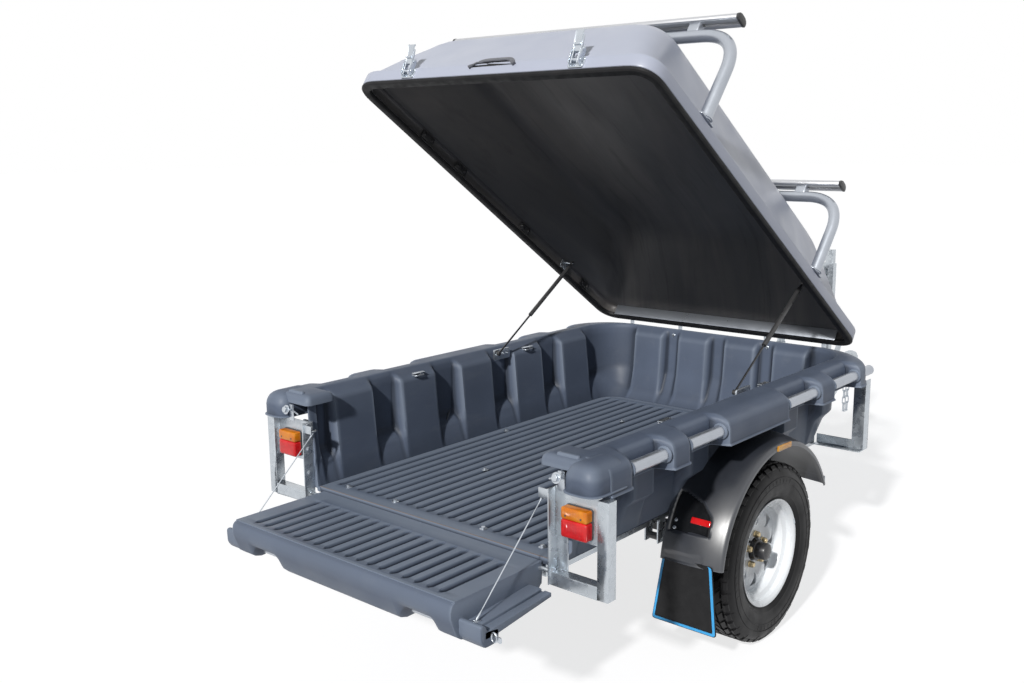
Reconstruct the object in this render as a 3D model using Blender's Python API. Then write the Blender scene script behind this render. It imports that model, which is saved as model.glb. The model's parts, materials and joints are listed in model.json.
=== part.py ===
"""A lidded box trailer: moulded tub with a drop tailgate, a hinged lid with roof bars,
galvanised ends and drawbar, two wheels on leaf springs, and a jockey wheel.

Units are metres and +Z is up. Pieces are drawn from a working origin on the ground under
the axle's centre: +X is the trailer's right side and +Y points along the drawbar.
"""
import math

import bmesh
import bpy
from mathutils import Matrix, Vector

# Clearances and sheet thicknesses
GAP = 0.0003
WALL = 0.006
PLATE = 0.004

# Overall places, measured from the axle
GATE_HINGE_Y = -1.000
GATE_HINGE_Z = 0.530
GATE_LENGTH = 0.380
DRAWBAR_TIP_Y = 2.400
AXLE_Y = -(DRAWBAR_TIP_Y + GATE_HINGE_Y - GATE_LENGTH) / 2

# Wheels
WHEEL_SIDES = 24
TYRE_RADIUS = 0.325
TYRE_WIDTH = 0.185
WHEEL_X = 0.6665
RIM_FLANGE_RADIUS = 0.1947
RIM_SEAT_RADIUS = 0.1812
RIM_HALF_WIDTH = 0.0775
HUB_RADIUS = 0.038
STUB_RADIUS = 0.016
HUB_CLEARANCE = 0.001
STUD_CIRCLE_RADIUS = 0.057
STUD_RADIUS = 0.006
STUD_COUNT = 5
VENT_COUNT = 8

# Tub
FLOOR_Z = 0.548
FLOOR_THICKNESS = 0.013
RIB_HEIGHT = 0.007
RIB_WIDTH = 0.026
RIB_PITCH = 0.050
RIB_COUNT = 20
FLOOR_HALF_WIDTH = 0.540
FLOOR_FRONT_Y = 0.800
FLOOR_REAR_Y = -0.968
FLOOR_CORNER_RADIUS = 0.085
TUB_REAR_Y = -0.985
RIM_TOP_Z = 0.898
SIDE_PILLAR_PITCH = 0.335
SIDE_PILLAR_WIDTH = 0.190
SIDE_PILLAR_FIRST_Y = -0.776
SIDE_PILLAR_COUNT = 5
FRONT_PILLAR_PITCH = 0.240
FRONT_PILLAR_WIDTH = 0.150
FRONT_PILLAR_COUNT = 4
PILLAR_SLOPE = 0.016
CAP_OUT = 0.210
CAP_BOTTOM_Z = 0.795
CAP_END_TOP_Z = 0.8935
RAIL_X = 0.722
RAIL_Z = 0.844
RAIL_RADIUS = 0.020
RAIL_REAR_Y = -1.000
RAIL_FRONT_Y = 0.850

# Lid, measured from its hinge: along runs back from the hinge, h is the height above it
LID_HINGE_Y = 0.926
LID_HINGE_Z = 0.922
LID_OPEN_DEG = 34.1
LID_HALF_WIDTH = 0.645
LID_FRONT = 0.012
LID_REAR = 1.909
LID_BOTTOM = -0.004
LID_TOP = 0.218
LID_SKIN = 0.005
LINER_SKIN = 0.004
LID_RIM_WIDTH = 0.030
SEAL_HEIGHT = 0.0147

# Roof bars
BAR_ALONG = (1.555, 0.551)
BAR_HALF_LENGTH = 0.636
BAR_BOTTOM = 0.413
BAR_HEIGHT = 0.036
BAR_WIDTH = 0.078
HOOP_RADIUS = 0.021
HOOP_TOP = 0.378

# Gas struts
STRUT_X = 0.565
STRUT_TOP_ALONG = 0.486
STRUT_TOP_H = 0.029
STRUT_FOOT_Y = 0.030
STRUT_FOOT_Z = 0.880
STRUT_PIN_RADIUS = 0.004
EYE_HALF_WIDTH = 0.006
CYLINDER_RADIUS = 0.009
CYLINDER_LENGTH = 0.360
ROD_RADIUS = 0.004
ROD_LENGTH = 0.285

# Tailgate, measured from its hinge when it lies open
GATE_HALF_WIDTH = 0.503
GATE_TOP = 0.018
GATE_STEP = -0.055
GATE_BOTTOM = -0.100
GATE_FLANGE_HALF_WIDTH = 0.585
GATE_SKIRT_LENGTH = 0.258
GATE_LIP_TOP = 0.011
GATE_TUBE_Y = -0.300
GATE_TUBE_Z = -0.080
GATE_TUBE_RADIUS = 0.019

# Chassis
RAIL_BEAM = 0.050
CHASSIS_TOP_Z = 0.5345
CHASSIS_X = 0.470
CHASSIS_REAR_Y = -0.960
CHASSIS_FRONT_Y = 0.860
AXLE_SIZE = 0.040
SPRING_HALF_LENGTH = 0.330
SPRING_WIDTH = 0.045
LEAF_THICKNESS = 0.007

# Guards
GUARD_RADIUS = 0.430
GUARD_OUTER_X = 0.775
GUARD_INNER_X = 0.553
GUARD_FRONT_DEG = 25.0
GUARD_REAR_DEG = 171.0
GUARD_STEP_DEG = 9.0
GUARD_WALL_CLEARANCE = 0.002

# Jockey wheel
JOCKEY_Y = 1.880
JOCKEY_WHEEL_RADIUS = 0.100
JOCKEY_WHEEL_WIDTH = 0.060
JOCKEY_TUBE_RADIUS = 0.024
JOCKEY_LEG_RADIUS = 0.020
JOCKEY_LEG_TOP_Z = 0.820

SIDES = (("left", -1), ("right", 1))


# Shapes: each is a pair of point and face lists
def box(low, high):
    """A block between two corners."""
    xs, ys, zs = zip(low, high)
    points = [(x, y, z) for x in xs for y in ys for z in zs]
    faces = [(0, 1, 3, 2), (4, 6, 7, 5), (0, 4, 5, 1), (2, 3, 7, 6), (0, 2, 6, 4), (1, 5, 7, 3)]
    return points, faces


def loft(rings, closed=False):
    """A skin over rings of equal length, with flat ends unless the rings close on themselves."""
    count = len(rings[0])
    points = [tuple(point) for ring in rings for point in ring]
    faces = []
    spans = len(rings) if closed else len(rings) - 1
    for row in range(spans):
        here = row * count
        there = (row + 1) % len(rings) * count
        for i in range(count):
            j = (i + 1) % count
            faces.append((here + i, here + j, there + j, there + i))
    if not closed:
        faces.append(tuple(reversed(range(count))))
        faces.append(tuple(range((len(rings) - 1) * count, len(rings) * count)))
    return points, faces


def prism(outline, axis, low, high):
    """A flat outline drawn out along x, y or z; its two numbers are the other axes in order."""
    def at(pair, depth):
        first, second = pair
        return {"x": (depth, first, second), "y": (first, depth, second), "z": (first, second, depth)}[axis]

    return loft([[at(pair, low) for pair in outline], [at(pair, high) for pair in outline]])


def turned(profile, centre, axis, sides, closed=False):
    """A profile of (radius, distance along the axis) pairs, turned about x, y or z."""
    rings = []
    for radius, along in profile:
        ring = []
        for step in range(sides):
            angle = 2 * math.pi * (step + 0.5) / sides
            u = radius * math.cos(angle)
            v = radius * math.sin(angle)
            local = {"x": (along, u, v), "y": (v, along, u), "z": (u, v, along)}[axis]
            ring.append(tuple(c + d for c, d in zip(centre, local)))
        rings.append(ring)
    return loft(rings, closed)


def rod(radius, start, length, axis, sides=16):
    """A plain round bar."""
    return turned([(radius, 0.0), (radius, length)], start, axis, sides)


def arc(centre, radius, start_deg, end_deg, steps):
    """Points along an arc in a plane."""
    points = []
    for step in range(steps + 1):
        angle = math.radians(start_deg + (end_deg - start_deg) * step / steps)
        points.append((centre[0] + radius * math.cos(angle), centre[1] + radius * math.sin(angle)))
    return points


def rounded(corners, radius, steps=4):
    """A closed outline whose corners are replaced by arcs of one radius."""
    points = []
    count = len(corners)
    for i in range(count):
        corner = Vector(corners[i])
        before = (Vector(corners[i - 1]) - corner).normalized()
        after = (Vector(corners[(i + 1) % count]) - corner).normalized()
        reach = radius / math.tan(before.angle(after) / 2)
        start = corner + before * reach
        end = corner + after * reach
        centre = corner + (before + after).normalized() * radius / math.sin(before.angle(after) / 2)
        for step in range(steps + 1):
            share = step / steps
            chord = (start - centre).lerp(end - centre, share)
            points.append(tuple(centre + chord.normalized() * radius))
    return points


def bent(points, radius, steps=6):
    """An open route whose inner corners are rounded."""
    route = [Vector(points[0])]
    for i in range(1, len(points) - 1):
        corner = Vector(points[i])
        before = (Vector(points[i - 1]) - corner).normalized()
        after = (Vector(points[i + 1]) - corner).normalized()
        half = before.angle(after) / 2
        reach = radius / math.tan(half)
        centre = corner + (before + after).normalized() * radius / math.sin(half)
        start = corner + before * reach - centre
        end = corner + after * reach - centre
        for step in range(steps + 1):
            sweep = start.slerp(end, step / steps)
            route.append(centre + sweep.normalized() * radius)
    route.append(Vector(points[-1]))
    return route


def tube(route, radius, sides=12, closed=False):
    """A round section carried along a route without twisting."""
    route = [Vector(point) for point in route]
    count = len(route)
    rings = []
    normal = None
    for i in range(count):
        if closed:
            heading = (route[(i + 1) % count] - route[i - 1]).normalized()
        else:
            heading = (route[min(i + 1, count - 1)] - route[max(i - 1, 0)]).normalized()
        if normal is None:
            normal = heading.orthogonal().normalized()
        normal = (normal - heading * normal.dot(heading)).normalized()
        side = heading.cross(normal)
        ring = []
        for step in range(sides):
            angle = 2 * math.pi * step / sides
            ring.append(route[i] + (normal * math.cos(angle) + side * math.sin(angle)) * radius)
        rings.append(ring)
    return loft(rings, closed)


def moved(shape, offset):
    """The same shape somewhere else."""
    points, faces = shape
    return [tuple(a + b for a, b in zip(point, offset)) for point in points], faces


def mirrored(shape, sign):
    """The shape as drawn for the right side, or its mirror image for the left."""
    if sign > 0:
        return shape
    points, faces = shape
    return [(-x, y, z) for x, y, z in points], [tuple(reversed(face)) for face in faces]


# Objects, guides and materials
def clear_scene():
    for obj in list(bpy.data.objects):
        bpy.data.objects.remove(obj)


def material(name, colour, roughness, metallic=0.0):
    found = bpy.data.materials.get(name)
    if found:
        return found
    made = bpy.data.materials.new(name)
    made.use_nodes = True
    shader = made.node_tree.nodes["Principled BSDF"]
    shader.inputs["Base Color"].default_value = (*colour, 1.0)
    shader.inputs["Roughness"].default_value = roughness
    shader.inputs["Metallic"].default_value = metallic
    return made


def tub_plastic():
    return material("tub_plastic", (0.060, 0.070, 0.085), 0.55)


def guard_plastic():
    return material("guard_plastic", (0.022, 0.024, 0.028), 0.38)


def lid_plastic():
    return material("lid_plastic", (0.36, 0.37, 0.42), 0.40)


def liner_plastic():
    return material("liner_plastic", (0.035, 0.036, 0.040), 0.35)


def galvanised():
    return material("galvanised_steel", (0.55, 0.58, 0.62), 0.40, 0.9)


def zinc_tube():
    return material("zinc_tube", (0.62, 0.65, 0.70), 0.32, 0.9)


def aluminium():
    return material("bar_aluminium", (0.66, 0.68, 0.70), 0.30, 1.0)


def rubber():
    return material("black_rubber", (0.015, 0.015, 0.016), 0.75)


def tyre_rubber():
    return material("tyre_rubber", (0.022, 0.022, 0.024), 0.70)


def white_steel():
    return material("white_steel", (0.80, 0.84, 0.88), 0.30)


def black_steel():
    return material("black_steel", (0.020, 0.020, 0.022), 0.35)


def lamp_lens():
    return material("lamp_lens", (0.75, 0.08, 0.03), 0.15)


def empty(name, place, parent=None, tilt_deg=0.0):
    """A frame to hang pieces on, turned about x."""
    made = bpy.data.objects.new(name, None)
    bpy.context.scene.collection.objects.link(made)
    made.parent = parent
    made.location = place
    made.rotation_euler = (math.radians(tilt_deg), 0.0, 0.0)
    return made


def mesh_object(name, shape, coat, parent, collection, sharp_deg):
    points, faces = shape
    mesh = bpy.data.meshes.new(name)
    mesh.from_pydata([tuple(point) for point in points], [], faces)
    work = bmesh.new()
    work.from_mesh(mesh)
    bmesh.ops.remove_doubles(work, verts=work.verts, dist=1e-6)
    bmesh.ops.recalc_face_normals(work, faces=work.faces)
    work.to_mesh(mesh)
    work.free()
    mesh.materials.append(coat)
    mesh.shade_smooth()
    mesh.set_sharp_from_angle(angle=math.radians(sharp_deg))
    made = bpy.data.objects.new(name, mesh)
    collection.objects.link(made)
    made.parent = parent
    return made


def guides(name, shapes, coat, parent, sharp_deg):
    """A collection of shapes that a piece joins or cuts away."""
    group = bpy.data.collections.new(name)
    bpy.context.scene.collection.children.link(group)
    for i, shape in enumerate(shapes):
        guide = mesh_object(f"{name}_{i}", shape, coat, parent, group, sharp_deg)
        guide.hide_render = True
        guide.display_type = "WIRE"
    return group


def piece(name, shapes, coat, parent, cuts=(), sharp_deg=35.0):
    """One sub-part: its shapes joined into one solid, and its cuts taken away."""
    made = mesh_object(name, shapes[0], coat, parent, bpy.context.scene.collection, sharp_deg)
    steps = (("joined", "UNION", shapes[1:]), ("cut", "DIFFERENCE", cuts))
    for label, operation, operands in steps:
        if not operands:
            continue
        step = made.modifiers.new(label, "BOOLEAN")
        step.operation = operation
        step.solver = "EXACT"
        step.operand_type = "COLLECTION"
        step.collection = guides(f"{name}_{label}", operands, coat, parent, sharp_deg)
    return made


# Tub: sections of (distance out from the floor's edge, height)
SIDE_PILLAR = [(0.000, 0.553), (0.011, 0.655), (0.015, 0.700), (0.030, 0.862), (0.066, 0.884)]
SIDE_RECESS = [(0.000, 0.553), (0.032, 0.655), (0.064, 0.700), (0.064, 0.862), (0.070, 0.884)]
FRONT_PILLAR = [(0.000, 0.553), (0.032, 0.600), (0.050, 0.700), (0.065, 0.862), (0.092, 0.884)]
FRONT_RECESS = [(0.000, 0.553), (0.045, 0.600), (0.082, 0.700), (0.095, 0.862), (0.098, 0.884)]
SIDE_RIM = [(0.080, RIM_TOP_Z), (0.165, 0.895), (0.203, 0.874), (CAP_OUT, 0.850), (CAP_OUT, CAP_BOTTOM_Z)]
SIDE_RIM_BACK = [(0.079, 0.884), (0.136, 0.887), (0.148, 0.850), (0.150, CAP_BOTTOM_Z)]
FRONT_RIM = [(0.104, RIM_TOP_Z), (0.114, RIM_TOP_Z), (0.119, 0.892), (0.120, 0.882), (0.120, 0.850)]
FRONT_RIM_BACK = [(0.104, 0.884), (0.111, 0.888), (0.114, 0.876), (0.114, 0.850)]


def blended(first, second, share):
    """Points part of the way from one section to another."""
    return [(a[0] + (b[0] - a[0]) * share, a[1] + (b[1] - a[1]) * share) for a, b in zip(first, second)]


def thickened(line, thickness):
    """The other face of a wall whose near face is the given line, on its outer side."""
    other = []
    for i in range(len(line)):
        start = Vector(line[max(i - 1, 0)])
        end = Vector(line[min(i + 1, len(line) - 1)])
        heading = (end - start).normalized()
        other.append((line[i][0] + heading.y * thickness, line[i][1] - heading.x * thickness))
    return other


def tub_section(side_share, recess_share):
    """The wall's inner face up to the rim's outer edge, and its outer face back down again."""
    side = blended(SIDE_PILLAR, SIDE_RECESS, recess_share)
    front = blended(FRONT_PILLAR, FRONT_RECESS, recess_share)
    wall = blended(front, side, side_share)
    rim = blended(FRONT_RIM, SIDE_RIM, side_share)
    rim_back = blended(FRONT_RIM_BACK, SIDE_RIM_BACK, side_share)
    wall_back = thickened(wall, WALL)
    wall_back[0] = (WALL, FLOOR_Z - 0.009)
    wall_back[-1] = (rim_back[0][0], rim_back[0][1] - WALL)
    foot = [(-0.030, FLOOR_Z - 0.001)]
    foot_back = [(-0.030, FLOOR_Z - 0.009)]
    return foot + wall + rim, rim_back[::-1], wall_back[::-1], foot_back


def pillar_stations(centres, width, low, high):
    """Places along a wall: how far each is into a recess, and how its outer face leans along the wall."""
    stations = [(low, 1.0, 0.0)]
    for centre in centres:
        start = centre - width / 2
        end = centre + width / 2
        stations.append((start - PILLAR_SLOPE, 1.0, WALL))
        stations.append((start, 0.0, WALL))
        stations.append((end, 0.0, -WALL))
        stations.append((end + PILLAR_SLOPE, 1.0, -WALL))
    stations.append((high, 1.0, 0.0))
    return stations


def side_pillar_centres():
    return [SIDE_PILLAR_FIRST_Y + SIDE_PILLAR_PITCH * i for i in range(SIDE_PILLAR_COUNT)]


def front_pillar_centres():
    middle = (FRONT_PILLAR_COUNT - 1) / 2
    return [FRONT_PILLAR_PITCH * (i - middle) for i in range(FRONT_PILLAR_COUNT)]


def tub_path():
    """Stations round the tub from rear left to rear right.

    Each is (x, y, outward angle, share of the side's section, share of the recess, lean).
    """
    corner_y = FLOOR_FRONT_Y - FLOOR_CORNER_RADIUS
    corner_x = FLOOR_HALF_WIDTH - FLOOR_CORNER_RADIUS
    jamb = [(TUB_REAR_Y, 0.25, 0.0), (TUB_REAR_Y + 0.034, 0.25, -WALL), (TUB_REAR_Y + 0.048, 1.0, -WALL)]
    side_low = TUB_REAR_Y + 0.072
    along_side = jamb + pillar_stations(side_pillar_centres(), SIDE_PILLAR_WIDTH, side_low, corner_y)
    along_front = pillar_stations(front_pillar_centres(), FRONT_PILLAR_WIDTH, -corner_x, corner_x)
    path = [(-FLOOR_HALF_WIDTH, y, 180.0, 1.0, recess, lean) for y, recess, lean in along_side]
    corner = []
    for turn, share in ((18.0, 0.10), (36.0, 0.35), (54.0, 0.65), (72.0, 0.90)):
        angle = math.radians(90.0 - turn)
        corner.append((corner_x + FLOOR_CORNER_RADIUS * math.cos(angle),
                       corner_y + FLOOR_CORNER_RADIUS * math.sin(angle), 90.0 - turn, share, 1.0, 0.0))
    for x, y, angle, share, recess, lean in reversed(corner):
        path.append((-x, y, 180.0 - angle, share, recess, lean))
    path += [(x, FLOOR_FRONT_Y, 90.0, 0.0, recess, lean) for x, recess, lean in along_front]
    path += corner
    path += [(FLOOR_HALF_WIDTH, y, 0.0, 1.0, recess, -lean) for y, recess, lean in reversed(along_side)]
    return path


def tub_walls():
    rings = []
    for x, y, angle_deg, side_share, recess_share, lean in tub_path():
        out_x = math.cos(math.radians(angle_deg))
        out_y = math.sin(math.radians(angle_deg))
        face, rim_back, wall_back, foot_back = tub_section(side_share, recess_share)
        shares = [0.0] * (len(face) + len(rim_back) + 1) + [1.0] * (len(wall_back) - 1) + [0.0]
        ring = []
        for (out, z), share in zip(face + rim_back + wall_back + foot_back, shares):
            shift = lean * share
            ring.append((x + out_x * out + out_y * shift, y + out_y * out - out_x * shift, z))
        rings.append(ring)
    points, faces = loft(rings)
    return points, matched_diagonals(faces, len(rings[0]), len(face))


def matched_diagonals(faces, count, turn):
    """Splits a lofted wall's quads so that both of its faces fold along the same lines."""
    split = []
    for face in faces:
        if len(face) != 4:
            split.append(face)
            continue
        a, b, c, d = face
        if a % count < turn:
            split += [(a, b, c), (a, c, d)]
        else:
            split += [(a, b, d), (b, c, d)]
    return split


def rib_profile(half_width, top, bottom, count, pitch, width, height):
    """The cross-section of a ribbed plate, from its left bottom corner round to its right."""
    line = [(-half_width, bottom), (-half_width, top)]
    for i in range(count):
        x = (i - (count - 1) / 2) * pitch
        line.append((x - width / 2, top))
        line.append((x - width / 4, top + height))
        line.append((x + width / 4, top + height))
        line.append((x + width / 2, top))
    return line + [(half_width, top), (half_width, bottom)]


def tub_floor():
    """The ribbed floor, with square corners that stay inside the rounded wall."""
    low = FLOOR_Z - FLOOR_THICKNESS
    inner = FLOOR_HALF_WIDTH - FLOOR_CORNER_RADIUS * 0.4
    line = rib_profile(inner, FLOOR_Z, low, RIB_COUNT, RIB_PITCH, RIB_WIDTH, RIB_HEIGHT)
    return prism(line, "y", FLOOR_REAR_Y, FLOOR_FRONT_Y - FLOOR_CORNER_RADIUS * 0.4)


def tub_floor_edge():
    """The flat border of the floor, cut to the wall's rounded plan."""
    reach = WALL * 0.6
    corner_x = FLOOR_HALF_WIDTH - FLOOR_CORNER_RADIUS
    corner_y = FLOOR_FRONT_Y - FLOOR_CORNER_RADIUS
    outline = [(-FLOOR_HALF_WIDTH - reach, FLOOR_REAR_Y), (FLOOR_HALF_WIDTH + reach, FLOOR_REAR_Y)]
    outline += arc((corner_x, corner_y), FLOOR_CORNER_RADIUS + reach, 0.0, 90.0, 6)
    outline += arc((-corner_x, corner_y), FLOOR_CORNER_RADIUS + reach, 90.0, 180.0, 6)
    return prism(outline, "z", FLOOR_Z - FLOOR_THICKNESS + 0.001, FLOOR_Z - 0.002)


def cap_end(low_x, high_x, rear_y, low_z, edge):
    """A rounded end of the side cap, from below up to its softened top edge."""
    front_y = -0.930
    outer = [(low_x, front_y), (low_x, rear_y), (high_x, rear_y), (high_x - 0.0035, front_y)]
    inner = [(low_x + edge, front_y - 0.005), (low_x + edge, rear_y + edge), (high_x - edge, rear_y + edge),
             (high_x - edge - 0.002, front_y - 0.005)]
    outline = rounded(outer, 0.030, 4)
    inset = rounded(inner, 0.026, 4)
    low = [(x, y, low_z) for x, y in outline]
    middle = [(x, y, CAP_END_TOP_Z - 0.0235) for x, y in outline]
    top = [(x, y, CAP_END_TOP_Z) for x, y in inset]
    return loft([low, middle, top])


def tub_rear_corners():
    """The cap's end: a dome that overhangs the lamp, and a shorter, shallower step inboard of it."""
    return [cap_end(0.630, 0.752, -1.085, CAP_BOTTOM_Z, 0.014), cap_end(0.525, 0.660, -1.028, 0.862, 0.012)]


HAND_HOLDS = ((-0.880, -0.656), (-0.568, -0.325), (0.090, 0.360), (0.463, 0.720))


def hand_hold(low_y, high_y):
    """The scoop that bares the rail."""
    outline = rounded([(low_y, 0.760), (high_y, 0.760), (high_y, 0.930), (low_y, 0.930)], 0.030, 1)
    deep = [(0.700, y, z) for y, z in outline]
    wide = [(0.790, y, z) for y, z in outline]
    return loft([deep, wide])


def build_tub(root):
    shapes = [tub_walls(), tub_floor(), tub_floor_edge()]
    cuts = []
    for _, sign in SIDES:
        shapes += [mirrored(end, sign) for end in tub_rear_corners()]
        for low_y, high_y in HAND_HOLDS:
            cuts.append(mirrored(hand_hold(low_y, high_y), sign))
        bore_start = (sign * RAIL_X, RAIL_REAR_Y - 0.10, RAIL_Z)
        cuts.append(rod(RAIL_RADIUS + GAP, bore_start, RAIL_FRONT_Y + GAP - RAIL_REAR_Y + 0.10, "y", 12))
    return piece("tub", shapes, tub_plastic(), root, cuts)


def build_rails(root):
    for side, sign in SIDES:
        start = (sign * RAIL_X, RAIL_REAR_Y, RAIL_Z)
        piece(f"rail_tube_{side}", [rod(RAIL_RADIUS, start, RAIL_FRONT_Y - RAIL_REAR_Y, "y", 12)],
              zinc_tube(), root)


# Galvanised ends, chassis and running gear
POST_BOTTOM_Z = 0.500
POST_TOP_Z = CAP_BOTTOM_Z - GAP
REAR_POST_INNER_X = FLOOR_HALF_WIDTH + 0.018
REAR_POST_WIDTH = 0.044
REAR_POST_OUTER_X = 0.726
REAR_FRAME_Y = (-1.030, TUB_REAR_Y - GAP)
LAMP_BACK_Y = -0.995
LAMP_SIZE = ((0.605, 0.700), (0.660, 0.755))
GATE_PIN_RADIUS = 0.007
CABLE_STUD = (0.526, 0.775)
CABLE_STUD_RADIUS = 0.005


def build_rear_frames(root):
    for side, sign in SIDES:
        low_y, high_y = REAR_FRAME_Y
        inner = REAR_POST_INNER_X
        outer = REAR_POST_OUTER_X
        edge = outer + REAR_POST_WIDTH
        face_y = low_y + PLATE
        shapes = [
            box((inner, low_y, POST_BOTTOM_Z), (inner + REAR_POST_WIDTH, face_y, POST_TOP_Z)),
            box((inner, low_y, POST_BOTTOM_Z), (inner + PLATE, high_y, POST_TOP_Z)),
            box((outer, low_y, POST_BOTTOM_Z), (edge, face_y, POST_TOP_Z)),
            box((edge - PLATE, low_y, POST_BOTTOM_Z), (edge, high_y + 0.012, POST_TOP_Z)),
            box((inner, low_y, POST_BOTTOM_Z), (edge, face_y, 0.545)),
            box((inner, low_y, POST_BOTTOM_Z), (edge, high_y, POST_BOTTOM_Z + PLATE)),
            box((inner, LAMP_BACK_Y, 0.520), (edge, LAMP_BACK_Y + PLATE, POST_TOP_Z)),
            rod(GATE_PIN_RADIUS, (0.480, GATE_HINGE_Y, GATE_HINGE_Z), inner + PLATE - 0.480, "x", 14),
            rod(CABLE_STUD_RADIUS, (CABLE_STUD[0], high_y - 0.022, CABLE_STUD[1]), 0.022, "y", 10),
            box((0.519, TUB_REAR_Y - GAP - 0.006, 0.760), (inner + PLATE, TUB_REAR_Y - GAP, 0.790)),
        ]
        piece(f"rear_frame_{side}", [mirrored(shape, sign) for shape in shapes], galvanised(), root)


def build_tail_lights(root):
    (low_x, high_x), (low_z, high_z) = LAMP_SIZE
    for side, sign in SIDES:
        outline = rounded([(low_x, low_z), (high_x, low_z), (high_x, high_z), (low_x, high_z)], 0.008, 3)
        shape = prism(outline, "y", LAMP_BACK_Y - GAP - 0.034, LAMP_BACK_Y - GAP)
        piece(f"tail_light_{side}", [mirrored(shape, sign)], lamp_lens(), root)


FRONT_POST_Y = 0.880


def build_front_posts(root):
    foot_x = CHASSIS_X + RAIL_BEAM / 2 + GAP
    for side, sign in SIDES:
        shapes = [
            box((0.650, FRONT_POST_Y, 0.490), (0.702, FRONT_POST_Y + PLATE, 0.790)),
            box((0.698, FRONT_POST_Y, 0.490), (0.702, FRONT_POST_Y + 0.045, 0.790)),
            box((foot_x, FRONT_POST_Y, 0.490), (0.702, FRONT_POST_Y + PLATE, 0.530)),
            box((foot_x, FRONT_POST_Y - 0.040, 0.490), (0.702, FRONT_POST_Y + PLATE, 0.494)),
        ]
        piece(f"front_post_{side}", [mirrored(shape, sign) for shape in shapes], galvanised(), root)


def build_chassis(root):
    low_z = CHASSIS_TOP_Z - RAIL_BEAM
    half = RAIL_BEAM / 2
    rail = box((CHASSIS_X - half, CHASSIS_REAR_Y, low_z), (CHASSIS_X + half, CHASSIS_FRONT_Y, CHASSIS_TOP_Z))
    shapes = [mirrored(rail, sign) for _, sign in SIDES]
    for y in (CHASSIS_REAR_Y + half + 0.001, -0.35, 0.30, CHASSIS_FRONT_Y - half - 0.001):
        low = (-CHASSIS_X, y - half, low_z + 0.001)
        shapes.append(box(low, (CHASSIS_X, y + half, CHASSIS_TOP_Z - 0.001)))
    for _, sign in SIDES:
        for y in (-SPRING_HALF_LENGTH, SPRING_HALF_LENGTH):
            for offset in (-1, 1):
                x = sign * CHASSIS_X + offset * (SPRING_WIDTH / 2 + 0.003)
                shapes.append(box((x - 0.0025, y - 0.022, 0.405), (x + 0.0025, y + 0.022, low_z + 0.005)))
            start = (sign * CHASSIS_X - SPRING_WIDTH / 2 - 0.006, y, 0.422)
            shapes.append(rod(0.006, start, SPRING_WIDTH + 0.012, "x", 8))
    return piece("chassis_frame", shapes, galvanised(), root)


def leaf(half_length, height, thickness):
    """One leaf of a spring, bowed so that its ends rise."""
    steps = 6
    rise = 0.055
    upper = []
    lower = []
    for step in range(steps + 1):
        y = half_length * (2 * step / steps - 1)
        z = height + rise * (y / SPRING_HALF_LENGTH) ** 2
        lower.append((y, z))
        upper.append((y, z + thickness))
    return lower + upper[::-1]


def build_springs_and_axle(root):
    centre = TYRE_RADIUS
    seat = centre + AXLE_SIZE / 2 + GAP
    for side, sign in SIDES:
        x = sign * CHASSIS_X
        half = SPRING_WIDTH / 2
        lengths = (0.16, 0.22, 0.28, SPRING_HALF_LENGTH)
        shapes = []
        for i, length in enumerate(lengths):
            height = seat + i * (LEAF_THICKNESS - 0.001)
            shapes.append(prism(leaf(length, height, LEAF_THICKNESS), "x", x - half, x + half))
        for y in (-SPRING_HALF_LENGTH, SPRING_HALF_LENGTH):
            shapes.append(rod(0.013, (x - half, y, 0.422), SPRING_WIDTH, "x", 10))
        cuts = [rod(0.0065, (x - half - 0.01, y, 0.422), SPRING_WIDTH + 0.02, "x", 8)
                for y in (-SPRING_HALF_LENGTH, SPRING_HALF_LENGTH)]
        piece(f"leaf_spring_{side}", shapes, black_steel(), root, cuts)
    half = AXLE_SIZE / 2
    reach = WHEEL_X - 0.105
    shapes = [box((-reach, -half, centre - half), (reach, half, centre + half))]
    for _, sign in SIDES:
        start = reach - 0.02
        stub = rod(STUB_RADIUS, (start, 0.0, centre), WHEEL_X + 0.010 - start, "x", 16)
        shapes.append(mirrored(stub, sign))
    piece("axle_beam", shapes, black_steel(), root)


# Wheels
def tyre_profile():
    """The tyre's closed section: (radius, distance from its middle plane)."""
    bead = RIM_HALF_WIDTH - 0.0085
    half = TYRE_WIDTH / 2
    seat = RIM_SEAT_RADIUS + GAP
    outer = [(seat, bead), (RIM_FLANGE_RADIUS + 0.003, bead + 0.0035), (0.222, half - 0.006), (0.262, half),
             (0.306, half - 0.012), (TYRE_RADIUS, half - 0.036)]
    inner = [(seat, bead - 0.018), (0.250, half - 0.018), (0.305, half - 0.036)]
    left = [(radius, -along) for radius, along in outer[::-1] + inner]
    return left + inner[::-1] + outer


def rim_profile():
    """The wheel's closed section: flanges, bead seats, well and the dished centre."""
    half = RIM_HALF_WIDTH
    seat = RIM_SEAT_RADIUS
    outer = [(RIM_FLANGE_RADIUS, half), (RIM_FLANGE_RADIUS, half - 0.004), (seat, half - 0.008),
             (seat, half - 0.028), (0.160, half - 0.038), (0.160, -half + 0.045), (seat, -half + 0.028),
             (seat, -half + 0.008), (RIM_FLANGE_RADIUS, -half + 0.004), (RIM_FLANGE_RADIUS, -half)]
    inner = [(0.1775, -half + 0.009), (0.156, -half + 0.044), (0.156, 0.006), (0.105, 0.016), (0.085, 0.008),
             (HUB_RADIUS + 0.0045, 0.008), (HUB_RADIUS + 0.0045, 0.013), (0.083, 0.013), (0.104, 0.021),
             (0.156, 0.011), (0.156, half - 0.040), (0.1775, half - 0.009)]
    return outer + inner


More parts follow.
